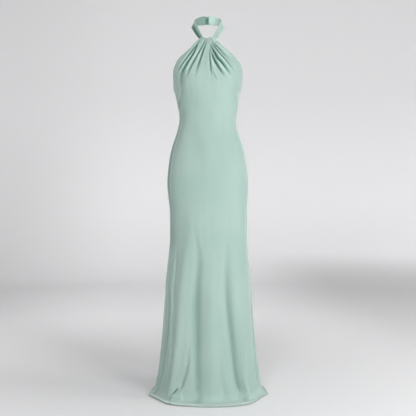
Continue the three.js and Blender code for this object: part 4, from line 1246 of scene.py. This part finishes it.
class DressCloth(bpy.types.PropertyGroup):
    """Sizes and colours of the jersey."""

    thickness: bpy.props.FloatProperty(
        name="Cloth thickness", description="How thick one layer of the jersey is",
        default=0.0011, min=0.0005, max=0.002, unit="LENGTH",
    )
    wale: bpy.props.FloatProperty(
        name="Wale width", description="Width of one column of knitted loops",
        default=0.00085, min=0.0003, max=0.003, unit="LENGTH",
    )
    course: bpy.props.FloatProperty(
        name="Course height", description="Height of one row of knitted loops",
        default=0.0007, min=0.0003, max=0.003, unit="LENGTH",
    )
    stitch: bpy.props.FloatProperty(
        name="Stitch length", description="Length of one machine stitch along a sewn edge",
        default=0.0028, min=0.001, max=0.006, unit="LENGTH",
    )
    colour: bpy.props.FloatVectorProperty(
        name="Jersey colour", description="Main colour of the jersey, as seen on screen",
        default=(0.494, 0.572, 0.544), subtype="COLOR_GAMMA", min=0, max=1, size=3,
    )
    light_colour: bpy.props.FloatVectorProperty(
        name="Light colour", description="Colour of the jersey where the dye is lightest",
        default=(0.518, 0.59, 0.563), subtype="COLOR_GAMMA", min=0, max=1, size=3,
    )
    shade_colour: bpy.props.FloatVectorProperty(
        name="Loop shade", description="Colour between the loops of the knit",
        default=(0.41, 0.508, 0.477), subtype="COLOR_GAMMA", min=0, max=1, size=3,
    )
    # Painted shade: the colour that the jersey is painted deep in its gathers and folds, and on the shaded
    # strap faces and the tab.
    fold_shade_colour: bpy.props.FloatVectorProperty(
        name="Deep colour", description="Colour of the jersey deep in its gathers and folds",
        default=(0.18, 0.34, 0.285), subtype="COLOR_GAMMA", min=0, max=1, size=3,
    )
    # Painted highlight: the colour that the jersey is painted on the gathers' crests, on a band of the
    # floor cloth and on the right strap, and toward which its lighter streaks go.
    crest_highlight_colour: bpy.props.FloatVectorProperty(
        name="Crest colour", description="Colour of the jersey stretched over the gathers' crests",
        default=(0.62, 0.71, 0.68), subtype="COLOR_GAMMA", min=0, max=1, size=3,
    )
    thread_colour: bpy.props.FloatVectorProperty(
        name="Thread colour", description="Colour of the sewing thread",
        default=(0.565, 0.635, 0.61), subtype="COLOR_GAMMA", min=0, max=1, size=3,
    )
    fastener_colour: bpy.props.FloatVectorProperty(
        name="Hook colour", description="Colour of the hooks and eyes",
        default=(0.498, 0.604, 0.565), subtype="COLOR_GAMMA", min=0, max=1, size=3,
    )


class DressStage(bpy.types.PropertyGroup):
    """The studio round the dress."""

    paper_colour: bpy.props.FloatVectorProperty(
        name="Paper colour", description="Colour of the floor and of the backdrop",
        default=(0.982, 0.982, 0.986), subtype="COLOR_GAMMA", min=0, max=1, size=3,
    )
    front_power: bpy.props.FloatProperty(
        name="Front light", description="Power of the large soft light behind the camera",
        default=169.0, min=0, max=2000, unit="POWER",
    )
    key_power: bpy.props.FloatProperty(
        name="Key light", description="Power of the light in front at the right, which casts the shadow",
        default=102.0, min=0, max=2000, unit="POWER",
    )
    side_power: bpy.props.FloatProperty(
        name="Side light", description="Power of the soft light at the right",
        default=50.0, min=0, max=2000, unit="POWER",
    )
    rim_power: bpy.props.FloatProperty(
        name="Rim light", description="Power of the weak light behind the dress at the left",
        default=2.0, min=0, max=2000, unit="POWER",
    )
    backdrop_power: bpy.props.FloatProperty(
        name="Backdrop light", description="Power of the light above that is turned to the backdrop",
        default=25.0, min=0, max=2000, unit="POWER",
    )
    sky_strength: bpy.props.FloatProperty(
        name="Room light", description="Strength of the even light of the room",
        default=0.24, min=0, max=10,
    )
    distance: bpy.props.FloatProperty(
        name="Camera distance", description="How far the camera stands from the middle of the dress",
        default=2.6, min=0.5, max=10, unit="LENGTH",
    )
    camera_height: bpy.props.FloatProperty(
        name="Camera height", description="Height of the level camera above the floor",
        default=0.72, min=0, max=3, unit="LENGTH",
    )
    lens: bpy.props.FloatProperty(
        name="Lens", description="Focal length on a sensor 36 mm wide",
        default=57.115, min=10, max=300, unit="CAMERA",
    )


# How far in from a panel's sewn edges its two rows of stitches run, and a strap's and the tab's one row.
PANEL_STITCHES = (0.0072, 0.0105)
STRAP_STITCHES = (0.0025,)
TAB_STITCHES = (0.002,)

# The studio's soft lights: place, what each is turned to, and size.
STUDIO_LIGHTS = (
    ("front", (-0.5, -4.4, 0.0), (0, 0, -0.78), 2.4),
    ("key", (2.6, -3.3, 0.3), (0, 0, -0.8), 1.5),
    ("side", (3.2, -0.7, -0.3), (0, 0, -0.8), 1.6),
    ("rim", (-2.6, 1.0, -0.6), (0, 0, -0.75), 1.4),
    ("backdrop", (0.2, 1.0, 2.5), (0.3, 3.4, -1.45), 2.4),
)

# The studio's paper: a round floor with a turned-up edge, seen from inside, just under the hem.
PAPER_DROP = 0.0004
PAPER_REACH = 3.6
PAPER_CURVE = 1.8
PAPER_WALL = 2.6
PAPER_STEPS = 14


# One operator for each piece.

class DRESS_OT_front_panel(bpy.types.Operator):
    """Makes the front panel, gathered into the twist at its top and broken on the floor at its hem"""

    bl_idname = "dress.front_panel"
    bl_label = "Front panel"
    bl_options = {"REGISTER", "UNDO"}

    def execute(self, context):
        piece = front_panel(context.scene.dress_cloth.thickness / MM)
        dress_in_jersey(piece, PANEL_STITCHES)
        hand_over(piece, "front_panel")
        return {"FINISHED"}


class DRESS_OT_back_panel(bpy.types.Operator):
    """Makes the back panel, from the low back's edge to the floor"""

    bl_idname = "dress.back_panel"
    bl_label = "Back panel"
    bl_options = {"REGISTER", "UNDO"}

    def execute(self, context):
        piece = back_panel(context.scene.dress_cloth.thickness / MM)
        dress_in_jersey(piece, PANEL_STITCHES)
        hand_over(piece, "back_panel")
        return {"FINISHED"}


class DRESS_OT_straps(bpy.types.Operator):
    """Makes the two folded straps, from the nape round the neck to the twist"""

    bl_idname = "dress.straps"
    bl_label = "Straps"
    bl_options = {"REGISTER", "UNDO"}

    def execute(self, context):
        left_rows = STRAP_LEFT + end_rows(STRAP_LEFT_END, BEHIND_FRONT)
        left = strap("strap_left_jersey", left_rows, CREASES_LEFT, SHADE_LEFT)
        right_rows = STRAP_RIGHT + end_rows(STRAP_RIGHT_END, ON_FRONT)
        right = strap("strap_right_jersey", right_rows, CREASES_RIGHT, SHADE_RIGHT)
        for piece, node in ((left, "strap_left"), (right, "strap_right")):
            dress_in_jersey(piece, STRAP_STITCHES)
            hand_over(piece, node)
        return {"FINISHED"}


class DRESS_OT_closing_tab(bpy.types.Operator):
    """Makes the small under-lap behind the gap between the strap ends at the nape"""

    bl_idname = "dress.closing_tab"
    bl_label = "Closing tab"
    bl_options = {"REGISTER", "UNDO"}

    def execute(self, context):
        piece = closing_tab()
        dress_in_jersey(piece, TAB_STITCHES)
        hand_over(piece, "closure_tab")
        return {"FINISHED"}


class DRESS_OT_hooks_and_eyes(bpy.types.Operator):
    """Makes the two pairs of hooks and eyes that hold the strap ends together"""

    bl_idname = "dress.hooks_and_eyes"
    bl_label = "Hooks and eyes"
    bl_options = {"REGISTER", "UNDO"}

    def execute(self, context):
        finish = metal_material("enamelled_wire", tuple(context.scene.dress_cloth.fastener_colour))
        for place, z in FASTENER_HEIGHTS.items():
            for make, node in ((eye, f"eye_{place}"), (hook, f"hook_{place}")):
                piece = make(node + "_wire", z)
                piece.data.materials.clear()
                piece.data.materials.append(finish)
                hand_over(piece, node)
        return {"FINISHED"}


class DRESS_OT_stage(bpy.types.Operator):
    """Makes the studio: a pale paper bowl, soft lights and the camera"""

    bl_idname = "dress.stage"
    bl_label = "Stage"
    bl_options = {"REGISTER", "UNDO"}

    def execute(self, context):
        stage = context.scene.dress_stage
        floor = -NAPE_HEIGHT * MM - PAPER_DROP
        deselect()
        bpy.ops.mesh.primitive_circle_add(
            vertices=96, radius=PAPER_REACH, fill_type="NGON", location=(0, 0, floor),
        )
        paper = context.object
        paper.name = "paper_bowl"
        bpy.ops.object.transform_apply(location=True, rotation=True, scale=True)
        bpy.ops.object.mode_set(mode="EDIT")
        bpy.ops.mesh.select_all(action="SELECT")
        reach, high = PAPER_REACH, 0.0
        for step in range(1, PAPER_STEPS + 1):
            turn = step / PAPER_STEPS * math.pi / 2
            wide = PAPER_REACH + PAPER_CURVE * math.sin(turn)
            top = PAPER_CURVE * (1 - math.cos(turn))
            bpy.ops.mesh.extrude_region_move(TRANSFORM_OT_translate={"value": (0, 0, top - high)})
            bpy.ops.transform.resize(
                value=(wide / reach, wide / reach, 1), center_override=(0, 0, floor + top),
            )
            reach, high = wide, top
        bpy.ops.mesh.extrude_region_move(TRANSFORM_OT_translate={"value": (0, 0, PAPER_WALL)})
        bpy.ops.mesh.delete(type="ONLY_FACE")
        bpy.ops.object.mode_set(mode="OBJECT")
        bpy.ops.object.shade_smooth_by_angle(angle=math.radians(40))
        paper.data.materials.append(stage_material("studio_paper", tuple(stage.paper_colour)))
        for name, place, toward, size in STUDIO_LIGHTS:
            soft_light(name, place, toward, size, getattr(stage, name + "_power"))
        world = context.scene.world or bpy.data.worlds.new("room")
        context.scene.world = world
        world.use_nodes = True
        room = world.node_tree.nodes["Background"]
        room.inputs["Color"].default_value = (1, 1, 1, 1)
        room.inputs["Strength"].default_value = stage.sky_strength
        bpy.ops.object.camera_add(
            location=(0, -stage.distance - NAPE_DEPTH * MM, floor + stage.camera_height),
            rotation=(math.pi / 2, 0, 0),
        )
        camera = context.object
        camera.name = "camera"
        camera.data.sensor_width = 36
        camera.data.lens = stage.lens
        camera.data.clip_end = 50
        context.scene.camera = camera
        context.scene.view_settings.view_transform = "Standard"
        return {"FINISHED"}


def soft_light(name, place, toward, size, power):
    """A large square light that the camera doesn't see."""
    bpy.ops.object.light_add(type="AREA", location=place)
    light = bpy.context.object
    light.name = name
    light.data.size = size
    light.data.energy = power
    light.rotation_euler = (Vector(toward) - Vector(place)).to_track_quat("-Z", "Y").to_euler()
    light.visible_camera = False
    return light


# The sidebar, and making it all.

MAKERS = (
    DRESS_OT_front_panel,
    DRESS_OT_back_panel,
    DRESS_OT_straps,
    DRESS_OT_closing_tab,
    DRESS_OT_hooks_and_eyes,
    DRESS_OT_stage,
)


class DRESS_PT_sidebar(bpy.types.Panel):
    """Lists the pieces of the dress and their settings"""

    bl_idname = "DRESS_PT_sidebar"
    bl_label = "High neck dress"
    bl_space_type = "VIEW_3D"
    bl_region_type = "UI"
    bl_category = "Dress"

    def draw(self, context):
        for settings in (context.scene.dress_cloth, context.scene.dress_stage):
            box = self.layout.box()
            for name in settings.bl_rna.properties.keys():
                if name not in ("rna_type", "name"):
                    box.prop(settings, name)
        for maker in MAKERS:
            self.layout.operator(maker.bl_idname)


CLASSES = (DressCloth, DressStage) + MAKERS + (DRESS_PT_sidebar,)


def register():
    for cls in CLASSES:
        bpy.utils.register_class(cls)
    bpy.types.Scene.dress_cloth = bpy.props.PointerProperty(type=DressCloth)
    bpy.types.Scene.dress_stage = bpy.props.PointerProperty(type=DressStage)


def unregister():
    del bpy.types.Scene.dress_stage
    del bpy.types.Scene.dress_cloth
    for cls in reversed(CLASSES):
        bpy.utils.unregister_class(cls)


def main():
    register()
    bpy.ops.dress.front_panel()
    bpy.ops.dress.back_panel()
    bpy.ops.dress.straps()
    bpy.ops.dress.closing_tab()
    bpy.ops.dress.hooks_and_eyes()
    bpy.ops.dress.stage()
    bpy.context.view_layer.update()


if __name__ == "__main__":
    main()
